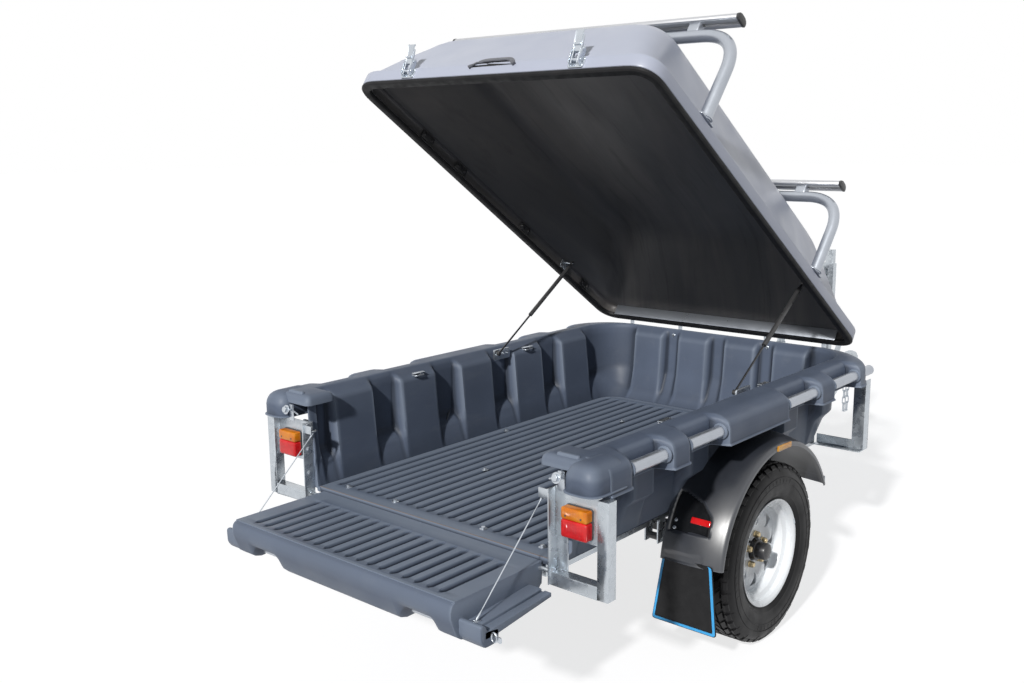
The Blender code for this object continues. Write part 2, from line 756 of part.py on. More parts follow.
def build_wheels(root):
    for side, sign in SIDES:
        hub_frame = empty(f"wheel_{side}_frame", (sign * WHEEL_X, 0.0, TYRE_RADIUS), root)
        origin = (0.0, 0.0, 0.0)
        tyre = turned(tyre_profile(), origin, "x", WHEEL_SIDES, True)
        piece(f"tyre_{side}", [tyre], tyre_rubber(), hub_frame)
        vents = []
        for i in range(VENT_COUNT):
            turn = 2 * math.pi * i / VENT_COUNT
            corners = [(0.128, -0.012), (0.128, 0.012), (0.098, 0.0)]
            outline = []
            for radius, across in corners:
                outline.append((radius * math.cos(turn) - across * math.sin(turn),
                                radius * math.sin(turn) + across * math.cos(turn)))
            vents.append(prism(outline, "x", -0.02, 0.06))
        studs = []
        for i in range(STUD_COUNT):
            turn = 2 * math.pi * i / STUD_COUNT
            studs.append((STUD_CIRCLE_RADIUS * math.sin(turn), STUD_CIRCLE_RADIUS * math.cos(turn)))
        holes = [rod(STUD_RADIUS + 2 * GAP, (0.0, y, z), 0.06, "x", 6) for y, z in studs]
        rim = [mirrored(turned(rim_profile(), origin, "x", WHEEL_SIDES, True), sign)]
        piece(f"rim_{side}", rim, white_steel(), hub_frame,
              [mirrored(cut, sign) for cut in vents + holes])
        bore = STUB_RADIUS + HUB_CLEARANCE
        hub = [(bore, -0.085), (0.045, -0.085), (0.048, -0.060), (0.072, -0.014), (0.072, 0.0077),
               (HUB_RADIUS, 0.0077), (HUB_RADIUS, 0.030), (0.030, 0.038), (0.030, 0.064), (0.020, 0.070),
               (0.0005, 0.070), (0.0005, 0.020), (bore, 0.020)]
        shapes = [mirrored(turned(hub, origin, "x", 14, True), sign)]
        for y, z in studs:
            nut = [(STUD_RADIUS, 0.0), (STUD_RADIUS, 0.0133), (0.0105, 0.0134), (0.0105, 0.028),
                   (0.0055, 0.033)]
            shapes.append(mirrored(turned(nut, (0.0, y, z), "x", 6), sign))
        piece(f"hub_{side}", shapes, black_steel(), hub_frame)


# Guards
def tub_outer_line():
    """The outer face of a side recess: (distance out from the floor's edge, height)."""
    line = thickened(SIDE_RECESS, WALL)
    line[0] = (WALL, FLOOR_Z - 0.009)
    return line


def tub_outer_x(z):
    """How far out the tub's recess wall reaches at a height."""
    line = tub_outer_line()
    if z < line[0][1]:
        return GUARD_INNER_X
    for (out_a, z_a), (out_b, z_b) in zip(line, line[1:]):
        if z <= z_b:
            share = max(0.0, (z - z_a) / (z_b - z_a))
            return FLOOR_HALF_WIDTH + out_a + (out_b - out_a) * share
    return FLOOR_HALF_WIDTH + line[-1][0]


def guard_section(inner_x):
    """A rolled-edge mudguard section: (x, distance in from the guard's outer radius)."""
    x = GUARD_OUTER_X
    top = [(inner_x, 0.0), (x - 0.022, 0.0), (x - 0.008, 0.006), (x, 0.018), (x, 0.032)]
    under = [(x - PLATE, 0.032), (x - PLATE, 0.020), (x - 0.011, 0.0095), (x - 0.024, PLATE),
             (inner_x, PLATE)]
    return top + under


def guard_angles():
    """Angles along the guard, with one wherever the tub's wall bends beside it."""
    bends = []
    for _, z in tub_outer_line()[:3]:
        bend = math.degrees(math.asin((z - TYRE_RADIUS) / GUARD_RADIUS))
        bends += [bend, 180.0 - bend]
    marks = sorted([GUARD_FRONT_DEG, GUARD_REAR_DEG] + bends)
    angles = marks[:1]
    for low, high in zip(marks, marks[1:]):
        parts = math.ceil((high - low) / GUARD_STEP_DEG)
        angles += [low + (high - low) * (i + 1) / parts for i in range(parts)]
    return angles


def build_guards(root):
    flange_x = FLOOR_HALF_WIDTH + SIDE_RECESS[2][0] + WALL + GAP
    for side, sign in SIDES:
        rings = []
        for angle in (math.radians(angle_deg) for angle_deg in guard_angles()):
            height = TYRE_RADIUS + GUARD_RADIUS * math.sin(angle)
            inner_x = tub_outer_x(height) + GUARD_WALL_CLEARANCE
            ring = []
            for x, inset in guard_section(inner_x):
                radius = GUARD_RADIUS - inset
                ring.append((x, radius * math.cos(angle), TYRE_RADIUS + radius * math.sin(angle)))
            rings.append(ring)
        top = TYRE_RADIUS + GUARD_RADIUS
        flange = box((flange_x, 0.012, top - PLATE), (flange_x + PLATE, 0.108, top + 0.030))
        piece(f"guard_{side}", [mirrored(loft(rings), sign), mirrored(flange, sign)], guard_plastic(), root)


FLAP_X = (0.520, 0.770)
FLAP_Z = (0.165, 0.405)


def build_mudflaps(root):
    inside = (GUARD_RADIUS - PLATE) * math.cos(math.radians(GUARD_STEP_DEG / 2)) - GAP
    y = -math.sqrt(inside ** 2 - (FLAP_Z[1] - TYRE_RADIUS) ** 2)
    for side, sign in SIDES:
        outline = rounded([(FLAP_X[0], FLAP_Z[0]), (FLAP_X[1], FLAP_Z[0]), (FLAP_X[1] - 0.022, FLAP_Z[1]),
                           (FLAP_X[0] + 0.04, FLAP_Z[1])], 0.012, 3)
        shape = prism(outline, "y", y, y + 0.004)
        piece(f"mudflap_{side}", [mirrored(shape, sign)], rubber(), root)


# Drawbar, coupling, chain, bracket and jockey wheel
DRAWBAR_LEG_FRONT_Y = 2.200
DRAWBAR_NOSE_Y = 2.230
DRAWBAR_REAR_X = 0.430
DRAWBAR_FRONT_X = 0.028


def drawbar_leg_x(y):
    """How far out the middle of a drawbar leg is."""
    share = (y - CHASSIS_FRONT_Y) / (DRAWBAR_LEG_FRONT_Y - CHASSIS_FRONT_Y)
    return DRAWBAR_REAR_X + (DRAWBAR_FRONT_X - DRAWBAR_REAR_X) * share


def build_drawbar(root):
    low_z = CHASSIS_TOP_Z - RAIL_BEAM
    half = RAIL_BEAM / 2
    start_y = CHASSIS_FRONT_Y + GAP
    shapes = []
    for _, sign in SIDES:
        ends = []
        for y in (start_y, DRAWBAR_LEG_FRONT_Y):
            x = drawbar_leg_x(y)
            ends.append([(sign * (x - half), y, low_z), (sign * (x + half), y, low_z),
                         (sign * (x + half), y, CHASSIS_TOP_Z), (sign * (x - half), y, CHASSIS_TOP_Z)])
        shapes.append(loft(ends))
    shapes.append(box((-0.060, 2.02, low_z - 0.002), (0.060, DRAWBAR_NOSE_Y, CHASSIS_TOP_Z + 0.002)))
    piece("drawbar", shapes, galvanised(), root)


COUPLING_BASE_Z = CHASSIS_TOP_Z + 0.002 + GAP
BALL_RADIUS = 0.025


def build_coupling(root):
    """A pressed ball coupling: a long hood with a round socket under its nose."""
    z = COUPLING_BASE_Z
    nose_y = DRAWBAR_TIP_Y - 0.040
    hood = [(-0.032, 0.0), (0.032, 0.0), (0.026, 0.045), (0.014, 0.056), (-0.014, 0.056), (-0.026, 0.045)]
    low = [(x, 2.10, z + h) for x, h in hood]
    high = [(x, nose_y, z + h) for x, h in hood]
    shapes = [loft([low, high]), box((-0.045, 2.06, z), (0.045, 2.215, z + 0.006))]
    shapes.append(turned([(0.036, -0.012), (0.040, 0.0), (0.040, 0.030), (0.030, 0.052), (0.012, 0.060)],
                         (0.0, nose_y, z), "z", 20))
    lever = [(2.14, 0.050), (2.17, 0.050), (2.20, 0.110), (2.30, 0.125), (2.30, 0.135), (2.19, 0.122)]
    shapes.append(prism([(y, z + height) for y, height in lever], "x", -0.012, 0.012))
    socket = [(BALL_RADIUS, -0.05), (BALL_RADIUS, 0.010), (0.022, 0.022), (0.012, 0.032)]
    cuts = [turned(socket, (0.0, nose_y, z), "z", 16)]
    piece("coupling", shapes, galvanised(), root, cuts)


CHAIN_Y = 2.320
CHAIN_HALF_SPREAD = 0.020
CHAIN_TOP_Z = 0.466
CHAIN_BOTTOM_Z = 0.260
CHAIN_PITCH = 0.0360
CHAIN_WIRE = 0.0034


def chain_place(travel):
    """A point of the hanging loop and its heading, by the length travelled from its rear end."""
    straight = CHAIN_TOP_Z - CHAIN_BOTTOM_Z - CHAIN_HALF_SPREAD
    bend = math.pi * CHAIN_HALF_SPREAD
    if travel < straight:
        return Vector((0.0, CHAIN_Y - CHAIN_HALF_SPREAD, CHAIN_TOP_Z - travel)), Vector((0.0, 0.0, -1.0))
    if travel > straight + bend:
        rest = travel - straight - bend
        place = Vector((0.0, CHAIN_Y + CHAIN_HALF_SPREAD, CHAIN_BOTTOM_Z + CHAIN_HALF_SPREAD + rest))
        return place, Vector((0.0, 0.0, 1.0))
    turn = (travel - straight) / CHAIN_HALF_SPREAD
    place = Vector((0.0, CHAIN_Y - CHAIN_HALF_SPREAD * math.cos(turn),
                    CHAIN_BOTTOM_Z + CHAIN_HALF_SPREAD - CHAIN_HALF_SPREAD * math.sin(turn)))
    return place, Vector((0.0, math.sin(turn), -math.cos(turn)))


def chain_link(centre, heading, flat):
    """One oval link; every other one is turned a quarter."""
    half_long = CHAIN_PITCH / 2 + 2 * CHAIN_WIRE * 0.8
    half_wide = 0.0095
    side = Vector((1.0, 0.0, 0.0)) if flat else heading.cross(Vector((1.0, 0.0, 0.0)))
    route = []
    for step in range(6):
        angle = 2 * math.pi * step / 6
        route.append(centre + heading * half_long * math.cos(angle) + side * half_wide * math.sin(angle))
    return tube(route, CHAIN_WIRE, 4, True)


def build_chain(root):
    """The safety chain, hung as a loop from a plate under the coupling."""
    length = 2 * (CHAIN_TOP_Z - CHAIN_BOTTOM_Z - CHAIN_HALF_SPREAD) + math.pi * CHAIN_HALF_SPREAD
    count = int(length / CHAIN_PITCH) + 1
    plate_low = (-0.004, DRAWBAR_NOSE_Y + GAP, CHAIN_TOP_Z - 0.008)
    shapes = [box(plate_low, (0.004, CHAIN_Y + 0.034, CHAIN_TOP_Z + 0.030))]
    for i in range(count):
        place, heading = chain_place(length * i / (count - 1))
        shapes.append(chain_link(place, heading, i % 2 == 0))
    piece("safety_chain", shapes, galvanised(), root)


def build_spare_bracket(root):
    """The upright that carries a spare wheel, with its slotted channel."""
    y = 2.060
    low = CHASSIS_TOP_Z + 0.002 + GAP
    shapes = [
        box((-0.020, y - 0.040, low), (0.020, y - 0.004, 1.190)),
        box((-0.050, y - 0.052, low), (0.050, y - 0.002, low + 0.006)),
        box((-0.034, y - 0.058, 0.900), (0.034, y - 0.052, 1.120)),
        box((-0.034, y - 0.058, 0.900), (-0.028, y - 0.020, 1.120)),
        box((0.028, y - 0.058, 0.900), (0.034, y - 0.020, 1.120)),
        box((-0.034, y - 0.046, 1.000), (0.034, y - 0.036, 1.020)),
    ]
    cuts = [box((-0.005, y - 0.07, 1.04), (0.005, y - 0.050, 1.09)),
            rod(0.007, (0.0, y - 0.07, 0.96), 0.019, "y", 12)]
    piece("spare_wheel_bracket", shapes, galvanised(), root, cuts)


def build_jockey(root):
    y = JOCKEY_Y
    axle_z = JOCKEY_WHEEL_RADIUS
    pad_half = 0.022
    outer_face = -(drawbar_leg_x(y - pad_half) + RAIL_BEAM / 2 + GAP)
    centre_x = outer_face - JOCKEY_TUBE_RADIUS - 0.006
    low_z = CHASSIS_TOP_Z - RAIL_BEAM
    sleeve = turned([(JOCKEY_TUBE_RADIUS, 0.0), (JOCKEY_TUBE_RADIUS, 0.300)], (centre_x, y, 0.400), "z", 20)
    clamp = turned([(JOCKEY_TUBE_RADIUS + 0.006, 0.0), (JOCKEY_TUBE_RADIUS + 0.006, RAIL_BEAM)],
                   (centre_x, y, low_z), "z", 20)
    pad = box((centre_x, y - pad_half, low_z + 0.004), (outer_face, y + pad_half, CHASSIS_TOP_Z - 0.004))
    bore = rod(JOCKEY_LEG_RADIUS + 0.0007, (centre_x, y, 0.30), 0.5, "z", 20)
    piece("jockey_sleeve", [sleeve, clamp, pad], galvanised(), root, [bore])
    leg_frame = empty("jockey_leg_frame", (centre_x, y, 0.0), root)
    top = JOCKEY_LEG_TOP_Z
    leg = [rod(JOCKEY_LEG_RADIUS, (0.0, 0.0, 0.290), top - 0.290, "z", 20),
           turned([(0.030, 0.0), (0.030, 0.008)], (0.0, 0.0, top - 0.002), "z", 20),
           box((-0.009, -0.095, top + 0.004), (0.009, 0.010, top + 0.012)),
           rod(0.008, (0.0, -0.088, top + 0.008), 0.060, "z", 10)]
    piece("jockey_leg", leg, galvanised(), leg_frame)
    fork_frame = empty("jockey_fork_frame", (centre_x, y, 0.0), root)
    trail = 0.030
    inner = JOCKEY_WHEEL_WIDTH / 2 + 0.006
    fork = [turned([(0.026, 0.0), (0.026, 0.006)], (0.0, 0.0, 0.2837), "z", 20),
            box((-inner - PLATE, -0.026, 0.2627), (inner + PLATE, 0.026, 0.2667)),
            rod(0.012, (0.0, 0.0, 0.262), 0.0275, "z", 12)]
    for sign in (-1, 1):
        plate = [(-0.024, 0.2667), (0.024, 0.2667), (0.006 - trail + 0.012, axle_z - 0.014),
                 (-trail - 0.018, axle_z - 0.014)]
        low_x = inner if sign > 0 else -inner - PLATE
        fork.append(prism(plate, "x", low_x, low_x + PLATE))
    fork.append(rod(0.006, (-inner - 0.010, -trail, axle_z), 2 * inner + 0.020, "x", 12))
    piece("jockey_fork", fork, galvanised(), fork_frame)
    wheel_frame = empty("jockey_wheel_frame", (centre_x, y - trail, axle_z), root)
    half = JOCKEY_WHEEL_WIDTH / 2
    profile = [(0.0065, -half), (0.025, -half), (0.028, -half + 0.012), (0.070, -half + 0.012),
               (0.074, -half + 0.004), (0.090, -half + 0.002), (0.098, -half + 0.012),
               (JOCKEY_WHEEL_RADIUS, -0.008)]
    profile = profile + [(radius, -along) for radius, along in profile[::-1]]
    piece("jockey_wheel", [turned(profile, (0.0, 0.0, 0.0), "x", 16, True)], rubber(), wheel_frame)


# Lid: rows of (inset at the sides, at the front and at the rear, height h, corner radius)
LID_ROWS = (
    (0.004, 0.004, 0.004, LID_BOTTOM, 0.090),
    (0.000, 0.000, 0.000, 0.004, 0.094),
    (0.000, 0.000, 0.000, 0.036, 0.094),
    (0.006, 0.006, 0.006, 0.042, 0.090),
    (0.036, 0.040, 0.030, 0.046, 0.080),
    (0.045, 0.055, 0.040, 0.055, 0.080),
    (0.158, 0.280, 0.142, 0.192, 0.090),
    (0.176, 0.310, 0.162, 0.208, 0.090),
    (0.210, 0.360, 0.200, LID_TOP - 0.003, 0.080),
    (0.330, 0.520, 0.330, LID_TOP, 0.060),
)


def lid_ring(row, inset, drop):
    """One level of the lid, moved in by an inset and down by a drop."""
    side, front, rear, height, radius = row
    half = LID_HALF_WIDTH - side - inset
    low = -(LID_REAR - rear - inset)
    high = -(LID_FRONT + front + inset)
    radius = max(radius - inset, 0.012)
    outline = rounded([(-half, low), (half, low), (half, high), (-half, high)], radius, 3)
    return [(x, y, height - drop) for x, y in outline]


def lid_skin(outer_inset, outer_drop, thickness, rim_outer, rim_inner):
    """A thin shell after the lid's rows, with a deeper rim below the ledge."""
    outside = []
    inside = []
    for i, row in enumerate(LID_ROWS):
        in_rim = i < 4
        outside.append(lid_ring(row, rim_outer if in_rim else outer_inset, 0.0 if i < 2 else outer_drop))
        inside.append(lid_ring(row, rim_inner if in_rim else outer_inset + thickness,
                               0.0 if i < 2 else outer_drop + thickness))
    return outside[::-1] + inside


def build_lid(lid):
    shell = loft(lid_skin(0.0, 0.0, LID_SKIN, 0.0, LID_RIM_WIDTH))
    piece("lid_shell", [shell], lid_plastic(), lid)
    start = LID_SKIN + GAP
    liner = loft(lid_skin(start, start, LINER_SKIN, LID_RIM_WIDTH + GAP, LID_RIM_WIDTH + LINER_SKIN))
    piece("lid_liner", [liner], liner_plastic(), lid)
    top = LID_BOTTOM - GAP
    rings = []
    for inset, height in ((0.002, top), (0.000, top - SEAL_HEIGHT * 0.4), (0.006, top - SEAL_HEIGHT),
                          (0.026, top - SEAL_HEIGHT), (0.034, top - SEAL_HEIGHT * 0.4), (0.034, top)):
        rings.append(lid_ring((0.0, 0.0, 0.0, height, 0.094), inset, 0.0))
    piece("lid_seal", [loft(rings, True)], rubber(), lid)


HINGE_X = (-0.49, -0.22, 0.22, 0.49)
HINGE_LENGTH = 0.060
BARREL_RADIUS = 0.006


def build_hinges(root, lid):
    """Four knuckles on one rail at the tub's front lip, and a strip inside the lid's front."""
    third = HINGE_LENGTH / 3
    face_y = FLOOR_FRONT_Y + FRONT_RIM[-1][0] + GAP
    shapes = [box((-0.530, face_y, 0.852), (0.530, face_y + 0.003, 0.876))]
    for x in HINGE_X:
        shapes.append(box((x - third / 2, face_y, 0.862), (x + third / 2, face_y + 0.003, LID_HINGE_Z)))
        shapes.append(rod(BARREL_RADIUS, (x - third / 2, LID_HINGE_Y, LID_HINGE_Z), third, "x", 8))
        pin_start = (x - HINGE_LENGTH / 2 - 0.002, LID_HINGE_Y, LID_HINGE_Z)
        shapes.append(rod(0.0028, pin_start, HINGE_LENGTH + 0.004, "x", 6))
    piece("hinge_rail", shapes, galvanised(), root)
    front = -(LID_FRONT - GAP)
    leaves = [box((-0.530, front, 0.014), (0.530, front + 0.003, 0.034))]
    strap = [(front, -0.0055), (0.0, -0.0055), (0.0, 0.0055), (front + 0.003, 0.0055),
             (front + 0.003, 0.020), (front, 0.020)]
    cuts = []
    for x in HINGE_X:
        for offset in (-third - 0.0005, third + 0.0005):
            low = x + offset - third / 2
            leaves.append(prism(strap, "x", low, low + third))
            leaves.append(rod(BARREL_RADIUS, (low, 0.0, 0.0), third, "x", 8))
            cuts.append(rod(0.0038, (low - 0.001, 0.0, 0.0), third + 0.002, "x", 6))
    piece("lid_hinge_strip", leaves, galvanised(), lid, cuts)


def build_roof_bars(lid):
    for label, along in zip(("rear", "front"), BAR_ALONG):
        half = BAR_WIDTH / 2
        top = BAR_BOTTOM + BAR_HEIGHT
        profile = [(-half, BAR_BOTTOM + 0.010), (-half + 0.008, BAR_BOTTOM), (half - 0.008, BAR_BOTTOM),
                   (half, BAR_BOTTOM + 0.010), (half - 0.004, BAR_BOTTOM + 0.020), (half * 0.45, top),
                   (-half * 0.45, top), (-half + 0.004, BAR_BOTTOM + 0.020)]
        outline = [(-along + across, height) for across, height in profile]
        bar = prism(outline, "x", -BAR_HALF_LENGTH, BAR_HALF_LENGTH)
        piece(f"crossbar_{label}", [bar], aluminium(), lid)
        ledge = LID_ROWS[4][3] + GAP
        foot_x = LID_HALF_WIDTH - 0.014
        corners = [(-foot_x, -along, ledge + 0.002), (-0.652, -along, HOOP_TOP), (0.652, -along, HOOP_TOP),
                   (foot_x, -along, ledge + 0.002)]
        route = bent(corners, 0.120, 5)
        shapes = [tube(route, HOOP_RADIUS, 12)]
        for sign in (-1, 1):
            shapes.append(box((sign * foot_x - 0.018, -along - 0.040, ledge),
                              (sign * foot_x + 0.018, -along + 0.040, ledge + 0.005)))
            shapes.append(box((sign * 0.47 - 0.020, -along - 0.016, HOOP_TOP + 0.010),
                              (sign * 0.47 + 0.020, -along + 0.016, BAR_BOTTOM - GAP)))
        piece(f"rack_hoop_{label}", shapes, zinc_tube(), lid)


def build_latches(lid):
    """Over-centre catches on the lid's rear face."""
    for side, sign in SIDES:
        x = sign * 0.365
        back = -(LID_REAR + GAP)
        shapes = [
            box((x - 0.020, back - 0.003, 0.002), (x + 0.020, back, 0.034)),
            box((x - 0.016, back - 0.018, 0.006), (x - 0.012, back - 0.001, 0.060)),
            box((x + 0.012, back - 0.018, 0.006), (x + 0.016, back - 0.001, 0.060)),
            rod(0.004, (x - 0.018, back - 0.010, 0.020), 0.036, "x", 10),
            rod(0.004, (x - 0.018, back - 0.010, 0.054), 0.036, "x", 10),
            box((x - 0.010, back - 0.014, 0.052), (x + 0.010, back - 0.008, 0.105)),
        ]
        piece(f"lid_latch_{side}", shapes, zinc_tube(), lid)


# Gas struts
def strut_angle_and_top(opening_deg):
    """The strut's angle above level and the place of its upper pin, with the lid open by an angle."""
    turn = math.radians(opening_deg)
    y = LID_HINGE_Y - STRUT_TOP_ALONG * math.cos(turn) + STRUT_TOP_H * math.sin(turn)
    z = LID_HINGE_Z + STRUT_TOP_ALONG * math.sin(turn) + STRUT_TOP_H * math.cos(turn)
    return math.atan2(z - STRUT_FOOT_Z, y - STRUT_FOOT_Y), y, z


def build_struts(root, lid):
    angle, top_y, top_z = strut_angle_and_top(LID_OPEN_DEG)
    wall_x = FLOOR_HALF_WIDTH + SIDE_RECESS[3][0] - GAP
    spacer_z = SIDE_RECESS[3][1] - 0.012
    for side, sign in SIDES:
        plate_x = STRUT_X + CYLINDER_RADIUS + 0.0055
        spacer_x = plate_x + 0.002
        pin_x = STRUT_X + EYE_HALF_WIDTH + GAP
        y = STRUT_FOOT_Y
        bracket = [
            box((plate_x, y - 0.016, spacer_z), (plate_x + PLATE, y + 0.082, STRUT_FOOT_Z + 0.014)),
            rod(STRUT_PIN_RADIUS, (pin_x, y, STRUT_FOOT_Z), spacer_x - pin_x, "x", 10),
        ]
        for reach in (0.020, 0.060):
            low = (spacer_x, y + reach, spacer_z)
            bracket.append(box(low, (wall_x, y + reach + 0.014, spacer_z + 0.010)))
        piece(f"strut_bracket_{side}", [mirrored(shape, sign) for shape in bracket], galvanised(), root)
        liner_x = LID_HALF_WIDTH - LID_ROWS[3][0] - LID_RIM_WIDTH - LINER_SKIN - GAP
        y = -STRUT_TOP_ALONG
        anchor = [
            box((liner_x - 0.004, y - 0.030, -0.001), (liner_x, y + 0.030, 0.0325)),
            rod(STRUT_PIN_RADIUS, (STRUT_X - 0.009, y, STRUT_TOP_H), liner_x - STRUT_X + 0.007, "x", 10),
        ]
        piece(f"strut_anchor_{side}", [mirrored(shape, sign) for shape in anchor], galvanised(), lid)
        tilt = math.degrees(angle)
        body = empty(f"strut_cylinder_{side}_frame", (sign * STRUT_X, top_y, top_z), root, tilt)
        barrel = rod(CYLINDER_RADIUS, (0.0, -CYLINDER_LENGTH, 0.0), CYLINDER_LENGTH - 0.030, "y", 16)
        eye = [rod(0.0095, (-EYE_HALF_WIDTH, 0.0, 0.0), 2 * EYE_HALF_WIDTH, "x", 16),
               rod(0.005, (0.0, -0.032, 0.0), 0.026, "y", 12), barrel]
        cuts = [rod(STRUT_PIN_RADIUS + 0.0005, (-0.02, 0.0, 0.0), 0.04, "x", 12),
                rod(ROD_RADIUS + 0.0006, (0.0, -CYLINDER_LENGTH - 0.01, 0.0), 0.270, "y", 12)]
        piece(f"strut_cylinder_{side}", eye, black_steel(), body, cuts)
        foot = empty(f"strut_rod_{side}_frame", (sign * STRUT_X, STRUT_FOOT_Y, STRUT_FOOT_Z), root, tilt)
        shaft = [rod(ROD_RADIUS, (0.0, 0.0065, 0.0), ROD_LENGTH, "y", 12),
                 rod(0.0095, (-EYE_HALF_WIDTH, 0.0, 0.0), 2 * EYE_HALF_WIDTH, "x", 16)]
        piece(f"strut_rod_{side}", shaft, black_steel(), foot)


# Tailgate
GATE_FLANGE_FRONT = (-0.046, -0.036)
GATE_FLANGE_REAR = (-0.290, -0.052)
GATE_LOBE_INNER_X = 0.425
GATE_LOBE_REAR_Y = -0.348
GATE_LOBE_BOTTOM = -0.106
CABLE_FOOT_X = 0.530
CABLE_FOOT_Y = -0.310
CABLE_TOP_Y = -1.004
CABLE_RADIUS = 0.002


def build_tailgate(gate):
    line = rib_profile(GATE_HALF_WIDTH, GATE_TOP - 0.006, GATE_STEP, 18, RIB_PITCH, RIB_WIDTH, 0.006)
    shapes = [prism(line, "y", -GATE_LENGTH + 0.020, -0.010)]
    shapes.append(box((-GATE_HALF_WIDTH, -GATE_LENGTH, GATE_STEP + 0.001),
                      (GATE_HALF_WIDTH, -GATE_LENGTH + 0.025, GATE_LIP_TOP)))
    knuckle_x = GATE_HALF_WIDTH - 0.0005
    shapes.append(box((-knuckle_x, -0.015, GATE_STEP + 0.0012), (knuckle_x, 0.012, GATE_TOP - 0.0005)))
    skirt = [(-0.012, GATE_STEP + 0.003), (-0.020, GATE_BOTTOM + 0.014), (-0.034, GATE_BOTTOM),
             (-GATE_SKIRT_LENGTH + 0.015, GATE_BOTTOM), (-GATE_SKIRT_LENGTH, GATE_BOTTOM + 0.015),
             (-GATE_SKIRT_LENGTH, GATE_STEP + 0.003)]
    shapes.append(prism(skirt, "x", -GATE_HALF_WIDTH + 0.001, GATE_HALF_WIDTH - 0.001))
    (front_y, front_z), (rear_y, rear_z) = GATE_FLANGE_FRONT, GATE_FLANGE_REAR
    flange = [(front_y, front_z), (front_y, front_z - 0.014), (rear_y, rear_z - 0.028),
              (-0.326, rear_z - 0.020), (-0.326, rear_z), (rear_y, rear_z)]
    shapes.append(prism(flange, "x", -GATE_FLANGE_HALF_WIDTH, GATE_FLANGE_HALF_WIDTH))
    bulge = [(-0.040, GATE_STEP + 0.002), (-0.040, GATE_BOTTOM - 0.002), (-0.070, GATE_BOTTOM - 0.014),
             (-0.320, GATE_BOTTOM - 0.014), (-0.352, GATE_BOTTOM + 0.010), (-0.366, GATE_STEP + 0.002)]
    shapes.append(prism(bulge, "x", -0.285, 0.285))
    lobe = [(-0.268, rear_z - 0.010), (-0.276, GATE_LOBE_BOTTOM + 0.010), (-0.290, GATE_LOBE_BOTTOM),
            (GATE_LOBE_REAR_Y + 0.018, GATE_LOBE_BOTTOM), (GATE_LOBE_REAR_Y, GATE_LOBE_BOTTOM + 0.020),
            (GATE_LOBE_REAR_Y, front_z), (GATE_LOBE_REAR_Y + 0.018, front_z), (-0.325, rear_z - 0.002)]
    for _, sign in SIDES:
        shapes.append(mirrored(prism(lobe, "x", GATE_LOBE_INNER_X, GATE_FLANGE_HALF_WIDTH - 0.0005), sign))
    tube_reach = GATE_HALF_WIDTH - 0.002
    bore_start = (-tube_reach - 0.03, GATE_TUBE_Y, GATE_TUBE_Z)
    cuts = [rod(GATE_TUBE_RADIUS + GAP, bore_start, 2 * tube_reach + 0.06, "x", 18)]
    for _, sign in SIDES:
        cuts.append(mirrored(rod(GATE_PIN_RADIUS + 0.0006, (0.470, 0.0, 0.0), 0.06, "x", 14), sign))
        opening = box((0.300, -0.330, GATE_BOTTOM - 0.03), (0.412, -0.262, GATE_STEP - 0.0045))
        cuts.append(mirrored(opening, sign))
    piece("tailgate", shapes, tub_plastic(), gate, cuts)
    bar = rod(GATE_TUBE_RADIUS, (-tube_reach, GATE_TUBE_Y, GATE_TUBE_Z), 2 * tube_reach, "x", 18)
    piece("tailgate_tube", [bar], zinc_tube(), gate)
    for side, sign in SIDES:
        x = GATE_FLANGE_HALF_WIDTH + GAP
        shapes = [box((x, -0.322, -0.098), (x + 0.004, -0.284, -0.062)),
                  box((x + 0.003, -0.314, -0.083), (x + 0.020, -0.300, -0.077)),
                  rod(0.004, (x, -0.307, -0.090), 0.022, "x", 10)]
        piece(f"gate_latch_{side}", [mirrored(shape, sign) for shape in shapes], zinc_tube(), gate)


def build_stay_cables(root):
    for side, sign in SIDES:
        top_z = CABLE_STUD[1] - CABLE_STUD_RADIUS - 0.8 * CABLE_RADIUS
        top = Vector((sign * CABLE_STUD[0], CABLE_TOP_Y, top_z))
        ledge_z = GATE_HINGE_Z + GATE_FLANGE_REAR[1]
        foot = Vector((sign * CABLE_FOOT_X, GATE_HINGE_Y + CABLE_FOOT_Y, ledge_z + CABLE_RADIUS))
        piece(f"stay_cable_{side}", [tube([top, foot], CABLE_RADIUS, 8)], galvanised(), root)


def main():
    clear_scene()
    root = empty("trailer", (0.0, AXLE_Y, 0.0))
    lid = empty("lid_frame", (0.0, LID_HINGE_Y, LID_HINGE_Z), root, -LID_OPEN_DEG)
    gate = empty("tailgate_frame", (0.0, GATE_HINGE_Y, GATE_HINGE_Z), root)
    build_tub(root)
    build_rails(root)
    build_rear_frames(root)
    build_tail_lights(root)
    build_front_posts(root)
    build_chassis(root)
    build_springs_and_axle(root)
    build_wheels(root)
    build_guards(root)
    build_mudflaps(root)
    build_drawbar(root)
    build_coupling(root)
    build_chain(root)
    build_spare_bracket(root)
    build_jockey(root)
    build_lid(lid)
    build_hinges(root, lid)
    build_roof_bars(lid)
    build_latches(lid)
    build_struts(root, lid)
    build_tailgate(gate)
    build_stay_cables(root)
    bpy.context.view_layer.update()


main()
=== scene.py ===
import json
import math

import bmesh
import bpy
from mathutils import Matrix, Vector

